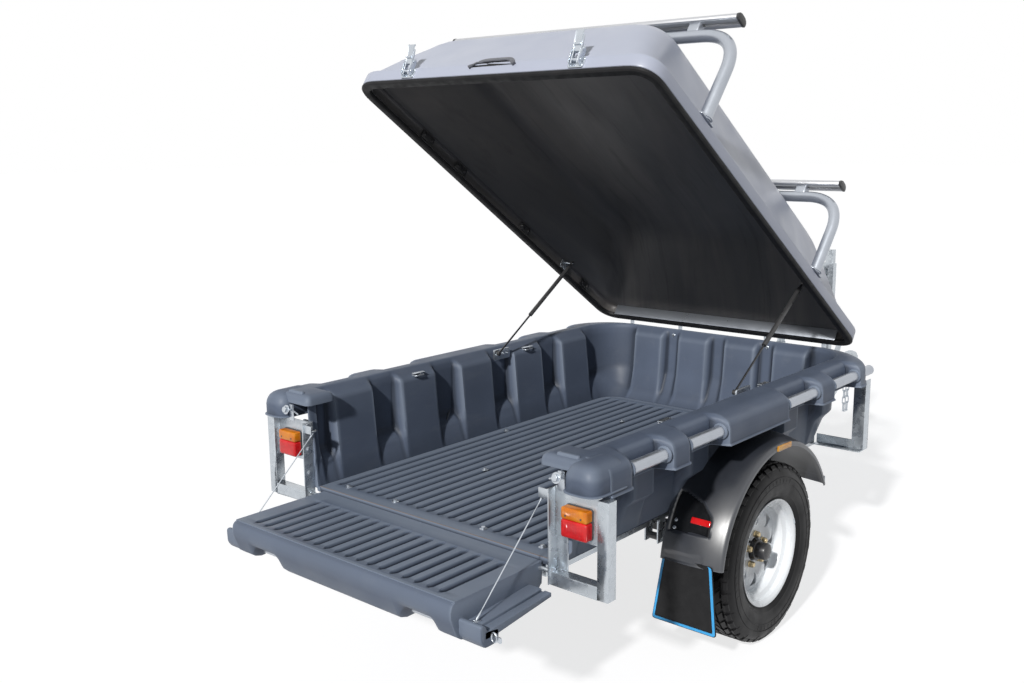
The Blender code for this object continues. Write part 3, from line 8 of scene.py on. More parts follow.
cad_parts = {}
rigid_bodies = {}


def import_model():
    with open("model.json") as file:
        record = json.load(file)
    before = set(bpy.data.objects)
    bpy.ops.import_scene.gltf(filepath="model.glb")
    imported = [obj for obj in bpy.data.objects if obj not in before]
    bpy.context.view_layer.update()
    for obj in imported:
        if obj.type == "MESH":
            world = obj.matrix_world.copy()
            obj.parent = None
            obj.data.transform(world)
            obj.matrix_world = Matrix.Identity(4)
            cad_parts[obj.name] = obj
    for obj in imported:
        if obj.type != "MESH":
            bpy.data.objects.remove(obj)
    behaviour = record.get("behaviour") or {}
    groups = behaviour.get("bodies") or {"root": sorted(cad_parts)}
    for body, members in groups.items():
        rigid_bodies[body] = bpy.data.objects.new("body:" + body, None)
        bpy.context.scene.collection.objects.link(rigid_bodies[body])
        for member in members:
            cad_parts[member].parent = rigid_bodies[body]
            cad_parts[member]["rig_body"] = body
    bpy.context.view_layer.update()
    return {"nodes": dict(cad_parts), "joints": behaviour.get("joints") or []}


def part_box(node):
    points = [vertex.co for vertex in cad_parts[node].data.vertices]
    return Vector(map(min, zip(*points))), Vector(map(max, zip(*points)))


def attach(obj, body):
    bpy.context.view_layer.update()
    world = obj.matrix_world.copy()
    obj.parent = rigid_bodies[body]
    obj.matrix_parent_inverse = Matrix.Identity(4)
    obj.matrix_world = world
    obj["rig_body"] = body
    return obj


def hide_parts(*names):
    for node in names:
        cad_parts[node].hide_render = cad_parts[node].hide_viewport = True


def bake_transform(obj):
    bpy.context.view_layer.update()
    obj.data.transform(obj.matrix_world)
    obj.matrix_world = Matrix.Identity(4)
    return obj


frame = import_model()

JOINTS = {joint["name"]: joint for joint in frame["joints"]}
AXLE_Y = JOINTS["wheel_left_spin"]["pos_m"][1]
WHEEL_X = JOINTS["wheel_right_spin"]["pos_m"][0]
WHEEL_Z = JOINTS["wheel_left_spin"]["pos_m"][2]
GATE_PIVOT = Vector(JOINTS["tailgate_hinge"]["pos_m"])
LID_PIVOT = Vector(JOINTS["lid_hinge"]["pos_m"])
LID_OPEN = math.radians(-JOINTS["lid_hinge"]["range_deg"][0])
SIDES = (("left", -1), ("right", 1))

# Camera and lights; the camera is fitted to the photograph
CAMERA_PLACE = Vector((2.4014, -3.8136, 1.7842))
CAMERA_YAW = 0.7145
CAMERA_PITCH = 0.1888
CAMERA_ROLL = -0.0094
CAMERA_LENS = 37.475
FLOOR_GLOW = 0.765
AMBIENT = 0.18
SUN = 3.2
SUN_FROM = Vector((0.21, -0.80, 0.515))
FLOOR_REACH = 60.0


# Shapes, as pairs of point and face lists
def loft(rings, closed=False):
    """A skin over rings with the same number of points; the ends are capped unless the rings close up."""
    count = len(rings[0])
    points = [tuple(point) for ring in rings for point in ring]
    faces = []
    spans = len(rings) if closed else len(rings) - 1
    for row in range(spans):
        here = row * count
        there = (row + 1) % len(rings) * count
        for i in range(count):
            j = (i + 1) % count
            faces.append((here + i, here + j, there + j, there + i))
    if not closed:
        faces.append(tuple(reversed(range(count))))
        faces.append(tuple(range((len(rings) - 1) * count, len(rings) * count)))
    return points, faces


def joined(*shapes):
    points = []
    faces = []
    for more_points, more_faces in shapes:
        start = len(points)
        points += more_points
        faces += [tuple(start + i for i in face) for face in more_faces]
    return points, faces


def placed(shape, change):
    """The same shape with a function applied to each of its points."""
    points, faces = shape
    return [tuple(change(*point)) for point in points], faces


def mirrored(shape, sign):
    if sign > 0:
        return shape
    points, faces = shape
    return [(-x, y, z) for x, y, z in points], [tuple(reversed(face)) for face in faces]


def box(low, high):
    xs, ys, zs = zip(low, high)
    points = [(x, y, z) for x in xs for y in ys for z in zs]
    faces = [(0, 1, 3, 2), (4, 6, 7, 5), (0, 4, 5, 1), (2, 3, 7, 6), (0, 2, 6, 4), (1, 5, 7, 3)]
    return points, faces


def turned(profile, centre, axis, sides, closed=False):
    """A profile of (radius, distance along the axis) turned about x, y or z."""
    rings = []
    for radius, along in profile:
        ring = []
        for step in range(sides):
            angle = 2 * math.pi * step / sides
            u = radius * math.cos(angle)
            v = radius * math.sin(angle)
            local = {"x": (along, u, v), "y": (v, along, u), "z": (u, v, along)}[axis]
            ring.append(tuple(c + d for c, d in zip(centre, local)))
        rings.append(ring)
    return loft(rings, closed)


def filleted(line, radius, steps=4, closed=False):
    """A line of 2D or 3D points with its inner corners rounded, each with the same number of points."""
    line = [Vector(point) for point in line]
    count = len(line)
    out = []
    for i in range(count):
        if not closed and i in (0, count - 1):
            out.append(line[i])
            continue
        corner = line[i]
        before = line[i - 1] - corner
        after = line[(i + 1) % count] - corner
        own = radius[i] if isinstance(radius, (list, tuple)) else radius
        reach = min(own, before.length * 0.48, after.length * 0.48)
        start = corner + before.normalized() * reach
        end = corner + after.normalized() * reach
        for step in range(steps + 1):
            t = step / steps
            out.append(start * (1 - t) ** 2 + corner * 2 * t * (1 - t) + end * t ** 2)
    return out


def tube(route, radius, sides=12, closed=False):
    """A round section carried along a route; the radius may be a list."""
    route = [Vector(point) for point in route]
    count = len(route)
    rings = []
    normal = None
    for i in range(count):
        if closed:
            heading = (route[(i + 1) % count] - route[i - 1]).normalized()
        else:
            heading = (route[min(i + 1, count - 1)] - route[max(i - 1, 0)]).normalized()
        if normal is None:
            normal = heading.orthogonal().normalized()
        normal = (normal - heading * normal.dot(heading)).normalized()
        side = heading.cross(normal)
        own = radius[i] if isinstance(radius, (list, tuple)) else radius
        rings.append([route[i] + (normal * math.cos(2 * math.pi * s / sides)
                                  + side * math.sin(2 * math.pi * s / sides)) * own for s in range(sides)])
    return loft(rings, closed)


def bolt(place, normal, across=0.013, height=0.008, washer=0.011):
    """A hexagon head on a washer, standing on a face."""
    normal = Vector(normal).normalized()
    side = normal.orthogonal().normalized()
    other = normal.cross(side)
    place = Vector(place)

    def ring(radius, up, sides):
        return [place + normal * up + (side * math.cos(2 * math.pi * (s + 0.5) / sides)
                                       + other * math.sin(2 * math.pi * (s + 0.5) / sides)) * radius
                for s in range(sides)]

    base = loft([ring(washer, 0.0, 20), ring(washer, 0.0016, 20), ring(washer - 0.001, 0.0022, 20)])
    half = across / 2 / math.cos(math.pi / 6)
    head = loft([ring(half, 0.001, 6), ring(half, height - 0.001, 6), ring(half * 0.88, height, 6)])
    return joined(base, head)


def smooth_step(low, high, value):
    t = min(1.0, max(0.0, (value - low) / (high - low)))
    return t * t * (3 - 2 * t)


def prism(outline, axis, places):
    """A flat outline carried along an axis; its own two coordinates are the other two axes, in order."""
    rings = []
    for place in places:
        if axis == "x":
            rings.append([(place, u, v) for u, v in outline])
        elif axis == "y":
            rings.append([(u, place, v) for u, v in outline])
        else:
            rings.append([(u, v, place) for u, v in outline])
    return loft(rings)


def rounded_rect(low, high, radius, steps=6):
    (x0, y0), (x1, y1) = low, high
    return filleted([(x0, y0), (x1, y0), (x1, y1), (x0, y1)], radius, steps, True)


def pillow(low, high, radius, levels, place, steps=4):
    """A stack of rounded rectangles (inset, level); place turns an outline's point and its level into 3D."""
    rings = []
    for inset, level in levels:
        outline = rounded_rect((low[0] + inset, low[1] + inset), (high[0] - inset, high[1] - inset),
                               radius, steps)
        rings.append([place(u, v, level) for u, v in outline])
    return loft(rings)


def side_box(sign, low, high):
    """A box given for the right side, drawn on either side."""
    ends = (low[0] * sign, high[0] * sign)
    return box((min(ends), low[1], low[2]), (max(ends), high[1], high[2]))


def circled(x, radius, angle):
    """A point on a circle about the x axis."""
    return x, radius * math.cos(angle), radius * math.sin(angle)


# Places: pieces are drawn from the ground under the axle, from the lid's hinge or from the tailgate's
def from_axle(x, y, z):
    return x, y + AXLE_Y, z


def from_lid(x, back, height):
    """back is the distance behind the hinge along the lid, and height is square to it."""
    return (x, LID_PIVOT.y - back * math.cos(LID_OPEN) + height * math.sin(LID_OPEN),
            LID_PIVOT.z + back * math.sin(LID_OPEN) + height * math.cos(LID_OPEN))


def from_gate(x, y, z):
    return x, GATE_PIVOT.y + y, GATE_PIVOT.z + z


def make(name, shape, coat, body, change=None, bevel=0.0, smooth_deg=35.0, replaces=()):
    """One piece from a shape: finished, and riding on a body."""
    if change:
        shape = placed(shape, change)
    points, faces = shape
    mesh = bpy.data.meshes.new(name)
    mesh.from_pydata([tuple(point) for point in points], [], faces)
    work = bmesh.new()
    work.from_mesh(mesh)
    bmesh.ops.remove_doubles(work, verts=work.verts, dist=1e-6)
    bmesh.ops.recalc_face_normals(work, faces=work.faces)
    work.to_mesh(mesh)
    work.free()
    obj = bpy.data.objects.new(name, mesh)
    bpy.context.scene.collection.objects.link(obj)
    return dress(obj, coat, body, bevel, smooth_deg, replaces)


def dress(obj, coat, body, bevel, smooth_deg, replaces):
    """Rounded edges, material and shading, and the body that the piece rides on."""
    if bevel:
        step = obj.modifiers.new("edges", "BEVEL")
        step.width = bevel
        step.segments = 2
        step.limit_method = "ANGLE"
        step.angle_limit = math.radians(30)
        bake(obj)
    obj.data.materials.clear()
    obj.data.materials.append(coat)
    obj.data.shade_smooth()
    obj.data.set_sharp_from_angle(angle=math.radians(smooth_deg))
    if body:
        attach(obj, body)
    if replaces:
        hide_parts(*replaces)
    return obj


def bake(obj):
    """Turns an object's modifiers into its mesh."""
    bpy.context.view_layer.update()
    made = bpy.data.meshes.new_from_object(obj.evaluated_get(bpy.context.evaluated_depsgraph_get()))
    old = obj.data
    obj.modifiers.clear()
    obj.data = made
    bpy.data.meshes.remove(old)


def refined(node, coat, bevel=0.0015, smooth_deg=35.0):
    """A copy of a frame node with rounded edges, in its place."""
    source = frame["nodes"][node]
    obj = bpy.data.objects.new(node + "_fine", source.data.copy())
    bpy.context.scene.collection.objects.link(obj)
    work = bmesh.new()
    work.from_mesh(obj.data)
    bmesh.ops.remove_doubles(work, verts=work.verts, dist=1e-5)
    bmesh.ops.dissolve_limit(work, angle_limit=math.radians(1.5), verts=work.verts, edges=work.edges)
    work.to_mesh(obj.data)
    work.free()
    return dress(obj, coat, source["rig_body"], bevel, smooth_deg, (node,))


# Materials
class Coat:
    """Builds one procedural material from a few named effects."""

    def __init__(self, name, colour, roughness, metallic=0.0):
        self.made = bpy.data.materials.new(name)
        self.made.use_nodes = True
        self.tree = self.made.node_tree
        self.shader = self.tree.nodes["Principled BSDF"]
        self.shader.inputs["Base Color"].default_value = (*colour, 1.0)
        self.shader.inputs["Roughness"].default_value = roughness
        self.shader.inputs["Metallic"].default_value = metallic
        self.colour = colour
        self.place = self.tree.nodes.new("ShaderNodeTexCoord").outputs["Object"]
        self.heights = []

    def link(self, start, end):
        self.tree.links.new(start, end)

    def scaled(self, stretch):
        node = self.tree.nodes.new("ShaderNodeMapping")
        node.inputs["Scale"].default_value = stretch
        self.link(self.place, node.inputs["Vector"])
        return node.outputs["Vector"]

    def noise(self, scale, detail=3.0, rough=0.5, stretch=(1, 1, 1), twist=0.0):
        node = self.tree.nodes.new("ShaderNodeTexNoise")
        node.inputs["Scale"].default_value = scale
        node.inputs["Detail"].default_value = detail
        node.inputs["Roughness"].default_value = rough
        node.inputs["Distortion"].default_value = twist
        self.link(self.scaled(stretch), node.inputs["Vector"])
        return node.outputs["Fac"]

    def cells(self, scale):
        node = self.tree.nodes.new("ShaderNodeTexVoronoi")
        node.inputs["Scale"].default_value = scale
        self.link(self.place, node.inputs["Vector"])
        return node

    def ranged(self, source, low, high, start=0.3, end=0.7):
        node = self.tree.nodes.new("ShaderNodeMapRange")
        node.inputs["From Min"].default_value = start
        node.inputs["From Max"].default_value = end
        node.inputs["To Min"].default_value = low
        node.inputs["To Max"].default_value = high
        self.link(source, node.inputs["Value"])
        return node.outputs["Result"]

    def tint(self, source, colour, amount=1.0, start=0.3, end=0.7):
        """Mixes another colour over what is there, where the source is high."""
        node = self.tree.nodes.new("ShaderNodeMix")
        node.data_type = "RGBA"
        socket = self.shader.inputs["Base Color"]
        if socket.is_linked:
            self.link(socket.links[0].from_socket, node.inputs[6])
        else:
            node.inputs[6].default_value = (*self.colour, 1.0)
        node.inputs[7].default_value = (*colour, 1.0)
        self.link(self.ranged(source, 0.0, amount, start, end), node.inputs[0])
        self.link(node.outputs[2], socket)
        return self

    def rough(self, source, low, high, start=0.3, end=0.7):
        self.link(self.ranged(source, low, high, start, end), self.shader.inputs["Roughness"])
        return self

    def bump(self, source, distance, strength=1.0):
        node = self.tree.nodes.new("ShaderNodeBump")
        node.inputs["Distance"].default_value = distance
        node.inputs["Strength"].default_value = strength
        self.link(source, node.inputs["Height"])
        if self.heights:
            self.link(self.heights[-1], node.inputs["Normal"])
        self.heights.append(node.outputs["Normal"])
        self.link(node.outputs["Normal"], self.shader.inputs["Normal"])
        return self

    def worn(self, colour, amount=0.5, low=0.52, high=0.60):
        """Lighter edges where the surface turns sharply outwards."""
        node = self.tree.nodes.new("ShaderNodeNewGeometry")
        return self.tint(node.outputs["Pointiness"], colour, amount, low, high)

    def shade_hollows(self, colour, amount=0.5, start=0.49, end=0.46):
        """Painted shade: darker hollows where the surface turns sharply inwards."""
        node = self.tree.nodes.new("ShaderNodeNewGeometry")
        return self.tint(node.outputs["Pointiness"], colour, amount, start, end)

    def set(self, **values):
        for name, value in values.items():
            self.shader.inputs[name.replace("_", " ")].default_value = value
        return self


def tub_plastic(name="tub_plastic", colour=(0.088, 0.110, 0.158), deck_top=None):
    """Grained grey-blue plastic; with a deck's height, painted shade darkens its grooves."""
    coat = Coat(name, colour, 0.50)
    coat.tint(coat.noise(3.0, 3.0, 0.6), tuple(c * 1.35 for c in colour), 0.6, 0.35, 0.7)
    coat.tint(coat.noise(14.0, 4.0, 0.65, (1, 0.35, 1)), (0.165, 0.185, 0.225), 0.30, 0.55, 0.78)
    # Painted shade: hollows such as groove bottoms and inner corners are darkened towards blue-black.
    coat.shade_hollows((0.030, 0.038, 0.055), 0.85, 0.498, 0.470)
    coat.worn((0.22, 0.26, 0.33), 0.7, 0.505, 0.55)
    coat.rough(coat.noise(9.0, 3.0), 0.40, 0.56)
    coat.bump(coat.noise(700.0, 1.0, 0.6), 0.0003, 0.35)
    coat.set(Specular_IOR_Level=0.24)
    if deck_top:
        # Painted shade: the deck's grooves get darker the deeper they lie below its top.
        parts = coat.tree.nodes.new("ShaderNodeSeparateXYZ")
        coat.link(coat.place, parts.inputs[0])
        coat.tint(parts.outputs[2], (0.024, 0.031, 0.048), 0.75, deck_top - 0.003, deck_top - 0.0115)
    return coat.made


def guard_plastic():
    coat = Coat("guard_plastic", (0.018, 0.021, 0.028), 0.36)
    coat.tint(coat.noise(5.0, 3.0, 0.6), (0.028, 0.031, 0.040), 0.7, 0.35, 0.7)
    coat.worn((0.12, 0.13, 0.15), 0.5, 0.51, 0.57)
    coat.rough(coat.noise(11.0, 3.0), 0.31, 0.38)
    coat.bump(coat.noise(700.0, 1.0, 0.6), 0.0002, 0.25)
    coat.set(Specular_IOR_Level=1.0)
    return coat.made


def lid_plastic():
    coat = Coat("lid_plastic", (0.43, 0.46, 0.56), 0.36)
    coat.tint(coat.noise(2.5, 3.0, 0.55), (0.48, 0.51, 0.61), 0.6)
    coat.tint(coat.noise(20.0, 4.0, 0.7, (1, 0.3, 1)), (0.38, 0.40, 0.47), 0.25, 0.6, 0.8)
    coat.rough(coat.noise(8.0, 3.0), 0.28, 0.42)
    coat.bump(coat.noise(6.0, 2.0, 0.5), 0.003, 0.10)
    return coat.made


def liner_plastic():
    coat = Coat("liner_plastic", (0.090, 0.088, 0.089), 0.40)
    # Painted reflection: lighter brownish streaks across the liner stand in for reflected light.
    coat.tint(coat.noise(2.2, 4.0, 0.6, (2.6, 0.35, 0.35), 0.6), (0.150, 0.138, 0.132), 0.8, 0.42, 0.68)
    coat.tint(coat.noise(7.0, 4.0, 0.7, (3.0, 0.22, 0.22), 0.3), (0.030, 0.029, 0.029), 0.60, 0.56, 0.74)
    coat.rough(coat.noise(5.0, 3.0, 0.6, (2.0, 0.5, 1.0)), 0.34, 0.50)
    coat.bump(coat.noise(2.6, 2.0, 0.5, (2.4, 0.4, 0.4)), 0.010, 0.18)
    return coat.made


def galvanised():
    coat = Coat("galvanised_steel", (0.50, 0.54, 0.58), 0.38, 0.85)
    grains = coat.cells(70.0)
    coat.tint(grains.outputs["Color"], (0.62, 0.66, 0.70), 0.45, 0.2, 0.8)
    coat.tint(coat.noise(9.0, 4.0, 0.6), (0.40, 0.43, 0.46), 0.35, 0.5, 0.75)
    coat.rough(grains.outputs["Color"], 0.24, 0.36, 0.1, 0.9)
    coat.bump(coat.noise(40.0, 2.0, 0.5), 0.0003, 0.12)
    return coat.made


def zinc_tube():
    coat = Coat("zinc_tube", (0.46, 0.49, 0.54), 0.34, 0.75)
    coat.tint(coat.noise(8.0, 3.0, 0.6), (0.39, 0.42, 0.47), 0.5, 0.45, 0.7)
    coat.rough(coat.noise(20.0, 3.0, 0.6), 0.27, 0.36)
    coat.bump(coat.noise(30.0, 2.0, 0.5), 0.0002, 0.08)
    return coat.made


def bar_aluminium():
    coat = Coat("bar_aluminium", (0.62, 0.63, 0.65), 0.30, 0.95)
    coat.tint(coat.noise(8.0, 5.0, 0.6, (0.1, 1, 1)), (0.50, 0.51, 0.53), 0.5)
    coat.rough(coat.noise(60.0, 4.0, 0.6, (0.05, 1, 1)), 0.24, 0.40)
    coat.bump(coat.noise(500.0, 2.0, 0.5, (0.02, 1, 1)), 0.0002, 0.20)
    return coat.made


def black_rubber():
    coat = Coat("black_rubber", (0.007, 0.007, 0.008), 0.62)
    coat.tint(coat.noise(25.0, 5.0, 0.65), (0.014, 0.014, 0.015), 0.7)
    coat.rough(coat.noise(30.0, 4.0), 0.50, 0.72)
    coat.bump(coat.noise(420.0, 2.0), 0.0003, 0.25)
    coat.set(Specular_IOR_Level=0.25)
    return coat.made


def tyre_rubber():
    coat = Coat("tyre_rubber", (0.008, 0.008, 0.009), 0.50)
    coat.tint(coat.noise(12.0, 4.0, 0.7), (0.016, 0.015, 0.015), 0.6, 0.5, 0.8)
    coat.rough(coat.noise(16.0, 3.0), 0.34, 0.55)
    coat.bump(coat.noise(300.0, 1.0, 0.6), 0.0003, 0.25)
    coat.set(Specular_IOR_Level=0.20)
    return coat.made


def white_steel():
    coat = Coat("white_steel", (0.88, 0.91, 0.94), 0.28)
    coat.tint(coat.noise(18.0, 5.0, 0.7), (0.74, 0.79, 0.85), 0.35, 0.55, 0.8)
    coat.rough(coat.noise(25.0, 4.0), 0.20, 0.34)
    coat.bump(coat.noise(90.0, 3.0), 0.0003, 0.15)
    coat.set(Coat_Weight=0.3)
    return coat.made


def black_steel(name="black_steel", colour=(0.014, 0.014, 0.016), low=0.22, high=0.40):
    coat = Coat(name, colour, 0.3)
    coat.tint(coat.noise(30.0, 5.0, 0.65), tuple(c * 2.2 for c in colour), 0.6)
    coat.worn((0.12, 0.12, 0.12), 0.5, 0.52, 0.60)
    coat.rough(coat.noise(26.0, 4.0), low, high)
    coat.bump(coat.noise(240.0, 3.0), 0.0003, 0.20)
    return coat.made


def plated_brass():
    coat = Coat("plated_nut", (0.62, 0.50, 0.30), 0.32, 0.95)
    coat.tint(coat.noise(120.0, 4.0), (0.42, 0.34, 0.20), 0.6)
    coat.rough(coat.noise(90.0, 4.0), 0.24, 0.44)
    return coat.made


def bright_zinc():
    coat = Coat("bright_zinc", (0.58, 0.62, 0.67), 0.28, 0.90)
    coat.tint(coat.noise(24.0, 3.0, 0.6), (0.44, 0.48, 0.53), 0.35)
    coat.rough(coat.noise(30.0, 3.0), 0.24, 0.34)
    coat.bump(coat.noise(60.0, 2.0), 0.0001, 0.10)
    return coat.made


def lens(name, colour, glow):
    """A clear coloured lens over prisms."""
    coat = Coat(name, colour, 0.10)
    grid = coat.tree.nodes.new("ShaderNodeTexBrick")
    grid.inputs["Scale"].default_value = 90.0
    grid.inputs["Mortar Size"].default_value = 0.09
    grid.offset = 0.0
    turn = coat.tree.nodes.new("ShaderNodeMapping")
    turn.inputs["Rotation"].default_value = (math.radians(90), 0.0, 0.0)
    coat.link(coat.place, turn.inputs["Vector"])
    coat.link(turn.outputs["Vector"], grid.inputs["Vector"])
    coat.tint(grid.outputs["Fac"], tuple(c * 0.45 for c in colour), 0.6, 0.0, 1.0)
    coat.tint(coat.noise(30.0, 3.0), glow, 0.45, 0.45, 0.75)
    coat.rough(coat.noise(20.0, 3.0), 0.06, 0.14)
    coat.bump(grid.outputs["Fac"], 0.0012, 0.5)
    coat.set(Coat_Weight=0.3, Specular_IOR_Level=0.3)
    return coat.made


def painted(name, colour, low=0.35, high=0.5):
    coat = Coat(name, colour, 0.4)
    coat.tint(coat.noise(40.0, 5.0, 0.6), tuple(c * 0.8 for c in colour), 0.5)
    coat.rough(coat.noise(30.0, 4.0), low, high)
    coat.bump(coat.noise(300.0, 3.0), 0.0002, 0.20)
    return coat.made


DECK_TOP = 0.5555
GATE_DECK_TOP = 0.5475
DECK_BLUE = (0.104, 0.130, 0.182)
TUB = tub_plastic()
FLOOR_DECK = tub_plastic("floor_plastic", DECK_BLUE, DECK_TOP)
GATE_DECK = tub_plastic("gate_plastic", DECK_BLUE, GATE_DECK_TOP)
GUARD = guard_plastic()
LID = lid_plastic()
LINER = liner_plastic()
GALV = galvanised()
TUBE = zinc_tube()
ALUMINIUM = bar_aluminium()
RUBBER = black_rubber()
TYRE = tyre_rubber()
WHITE = white_steel()
BLACK = black_steel()
BRASS = plated_brass()
ZINC = bright_zinc()
RED = lens("red_lens", (0.80, 0.008, 0.012), (0.95, 0.03, 0.03))
AMBER = lens("amber_lens", (0.90, 0.24, 0.005), (1.0, 0.44, 0.03))
MARKER = lens("marker_lens", (1.0, 0.42, 0.02), (1.0, 0.60, 0.08))
BLUE = painted("blue_border", (0.06, 0.42, 0.85))
HANDLE = painted("handle_grey", (0.10, 0.105, 0.125), 0.35, 0.5)
PALE_EDGE = painted("worn_seam", (0.20, 0.165, 0.15), 0.6, 0.8)
PANEL_BLACK = black_steel("panel_black", (0.006, 0.0065, 0.0075), 0.14, 0.24)


# Tub: sections of (distance out from the floor's edge, height), by side or front and pillar or recess
FLOOR_HALF = 0.540
FLOOR_FRONT = 0.800
FLOOR_REAR = -0.972
CORNER = 0.085
TUB_REAR = -0.985
SIDE_STEPS = 250
FRONT_STEPS = 130
GROOVE_PITCH = 0.050
GROOVE_DEPTH = 0.0125
SIDE_PILLARS = [-0.776 + 0.335 * i for i in range(5)]
FRONT_PILLARS = [-0.36, -0.12, 0.12, 0.36]
HAND_HOLDS = ((-0.880, -0.656), (-0.568, -0.325), (0.090, 0.360), (0.463, 0.720))
SIDE_PILLAR = [(0.000, 0.5535), (0.011, 0.655), (0.015, 0.700), (0.030, 0.862), (0.066, 0.886)]
SIDE_RECESS = [(0.000, 0.5535), (0.030, 0.640), (0.064, 0.672), (0.064, 0.862), (0.070, 0.886)]
FRONT_PILLAR = [(0.000, 0.5535), (0.032, 0.600), (0.050, 0.700), (0.065, 0.862), (0.092, 0.886)]
FRONT_RECESS = [(0.000, 0.5535), (0.045, 0.600), (0.082, 0.700), (0.095, 0.862), (0.098, 0.886)]
SIDE_RIM = [(0.082, 0.898), (0.165, 0.896), (0.203, 0.876), (0.210, 0.848), (0.210, 0.803), (0.216, 0.799),
            (0.216, 0.7955)]
HOLD_RIM = [(0.082, 0.898), (0.118, 0.897), (0.142, 0.889), (0.150, 0.868), (0.151, 0.803), (0.1515, 0.799),
            (0.1515, 0.7955)]
FRONT_RIM = [(0.104, 0.898), (0.114, 0.898), (0.119, 0.893), (0.120, 0.882), (0.120, 0.858), (0.120, 0.853),
             (0.120, 0.850)]
SIDE_BACK = [(0.145, 0.7955), (0.142, 0.860), (0.128, 0.885), (0.079, 0.884)]
FRONT_BACK = [(0.114, 0.850), (0.114, 0.876), (0.111, 0.888), (0.104, 0.884)]
RADII = [0.0, 0.010, 0.020, 0.020, 0.015, 0.010, 0.006, 0.020, 0.016, 0.012, 0.003, 0.001, 0.0]


def mixed(first, second, share):
    """A section part of the way from one to another."""
    return [(a[0] + (b[0] - a[0]) * share, a[1] + (b[1] - a[1]) * share) for a, b in zip(first, second)]


def wall_section(side, recess, hold):
    """One closed section of the tub's wall and cap, with its corners rounded."""
    wall = mixed(mixed(FRONT_PILLAR, FRONT_RECESS, recess), mixed(SIDE_PILLAR, SIDE_RECESS, recess), side)
    rim = mixed(FRONT_RIM, mixed(SIDE_RIM, HOLD_RIM, hold), side)
    back = mixed(FRONT_BACK, SIDE_BACK, side)
    face = filleted([(-0.010, 0.5545)] + wall + rim, RADII, 3)
    behind = [(out + 0.0065, z - 0.002) for out, z in reversed(wall[1:4])]
    behind = [(back[-1][0] + 0.001, back[-1][1] - 0.004)] + behind + [(0.006, 0.539), (-0.010, 0.539)]
    return [(v[0], v[1]) for v in face] + back[:-1] + behind


def pillar_share(place, centres, width):
    """0 on a pillar, 1 in a recess."""
    nearest = min(abs(place - centre) for centre in centres)
    return smooth_step(width / 2 - 0.004, width / 2 + 0.019, nearest)


def hold_share(y):
    """1 along a hand hold, 0 between them."""
    return max(smooth_step(low, low + 0.026, y) - smooth_step(high - 0.026, high, y)
               for low, high in HAND_HOLDS)


def tub_stations():
    """Places round the tub from rear left to rear right: x, y, angle, and side, recess and hold shares."""
    corner_y = FLOOR_FRONT - CORNER
    corner_x = FLOOR_HALF - CORNER
    side = []
    for i in range(SIDE_STEPS + 1):
        y = TUB_REAR + (corner_y - TUB_REAR) * i / SIDE_STEPS
        jamb = 0.75 * (1 - smooth_step(TUB_REAR + 0.032, TUB_REAR + 0.052, y))
        recess = pillar_share(y, SIDE_PILLARS, 0.190) * (1 - jamb)
        side.append((y, recess, hold_share(y)))
    stations = [(-FLOOR_HALF, y, 180.0, 1.0, recess, hold) for y, recess, hold in side]
    corner = []
    for turn in range(6, 90, 6):
        angle = math.radians(90 - turn)
        corner.append((corner_x + CORNER * math.cos(angle), corner_y + CORNER * math.sin(angle), 90.0 - turn,
                       smooth_step(0, 90, turn), 1.0, 0.0))
    stations += [(-x, y, 180 - angle, *shares) for x, y, angle, *shares in reversed(corner)]
    for i in range(FRONT_STEPS + 1):
        x = -corner_x + 2 * corner_x * i / FRONT_STEPS
        stations.append((x, FLOOR_FRONT, 90.0, 0.0, pillar_share(x, FRONT_PILLARS, 0.150), 0.0))
    stations += corner
    stations += [(FLOOR_HALF, y, 0.0, 1.0, recess, hold) for y, recess, hold in reversed(side)]
    return stations


def tub_walls():
    """The wall and cap as one skin, carried round the tub."""
    rings = []
    for x, y, angle, side, recess, hold in tub_stations():
        out_x = math.cos(math.radians(angle))
        out_y = math.sin(math.radians(angle))
        rings.append([(x + out_x * out, y + out_y * out, z) for out, z in wall_section(side, recess, hold)])
    return loft(rings)


def pad(low, high, radius, levels):
    """A stack of rounded rectangles, each moved in by an inset: (inset, height)."""
    rings = []
    for inset, z in levels:
        outline = rounded_rect((low[0] + inset, low[1] + inset), (high[0] - inset, high[1] - inset),
                               max(radius - inset * 0.6, 0.008))
        rings.append([(p[0], p[1], z) for p in outline])
    return loft(rings)


def cap_ends(sign):
    """The dome that ends a side cap, the step inside it and the bead on the step."""
    dome = [(-0.005, 0.8080), (-0.005, 0.811), (0.000, 0.814), (0.000, 0.848), (0.002, 0.860), (0.006, 0.871),
            (0.012, 0.881), (0.020, 0.888), (0.030, 0.893), (0.042, 0.8965), (0.056, 0.8980)]
    step = [(0.000, 0.862), (0.000, 0.874), (0.002, 0.882), (0.006, 0.889), (0.012, 0.894), (0.020, 0.897),
            (0.030, 0.8985)]
    bead = [(0.000, 0.890), (0.000, 0.899), (0.002, 0.903), (0.005, 0.9045)]
    return [mirrored(pad((0.628, -1.062), (0.748, -0.880), 0.048, dome), sign),
            mirrored(pad((0.525, -1.028), (0.680, -0.900), 0.022, step), sign),
            mirrored(pad((0.576, -1.012), (0.655, -0.996), 0.007, bead), sign)]


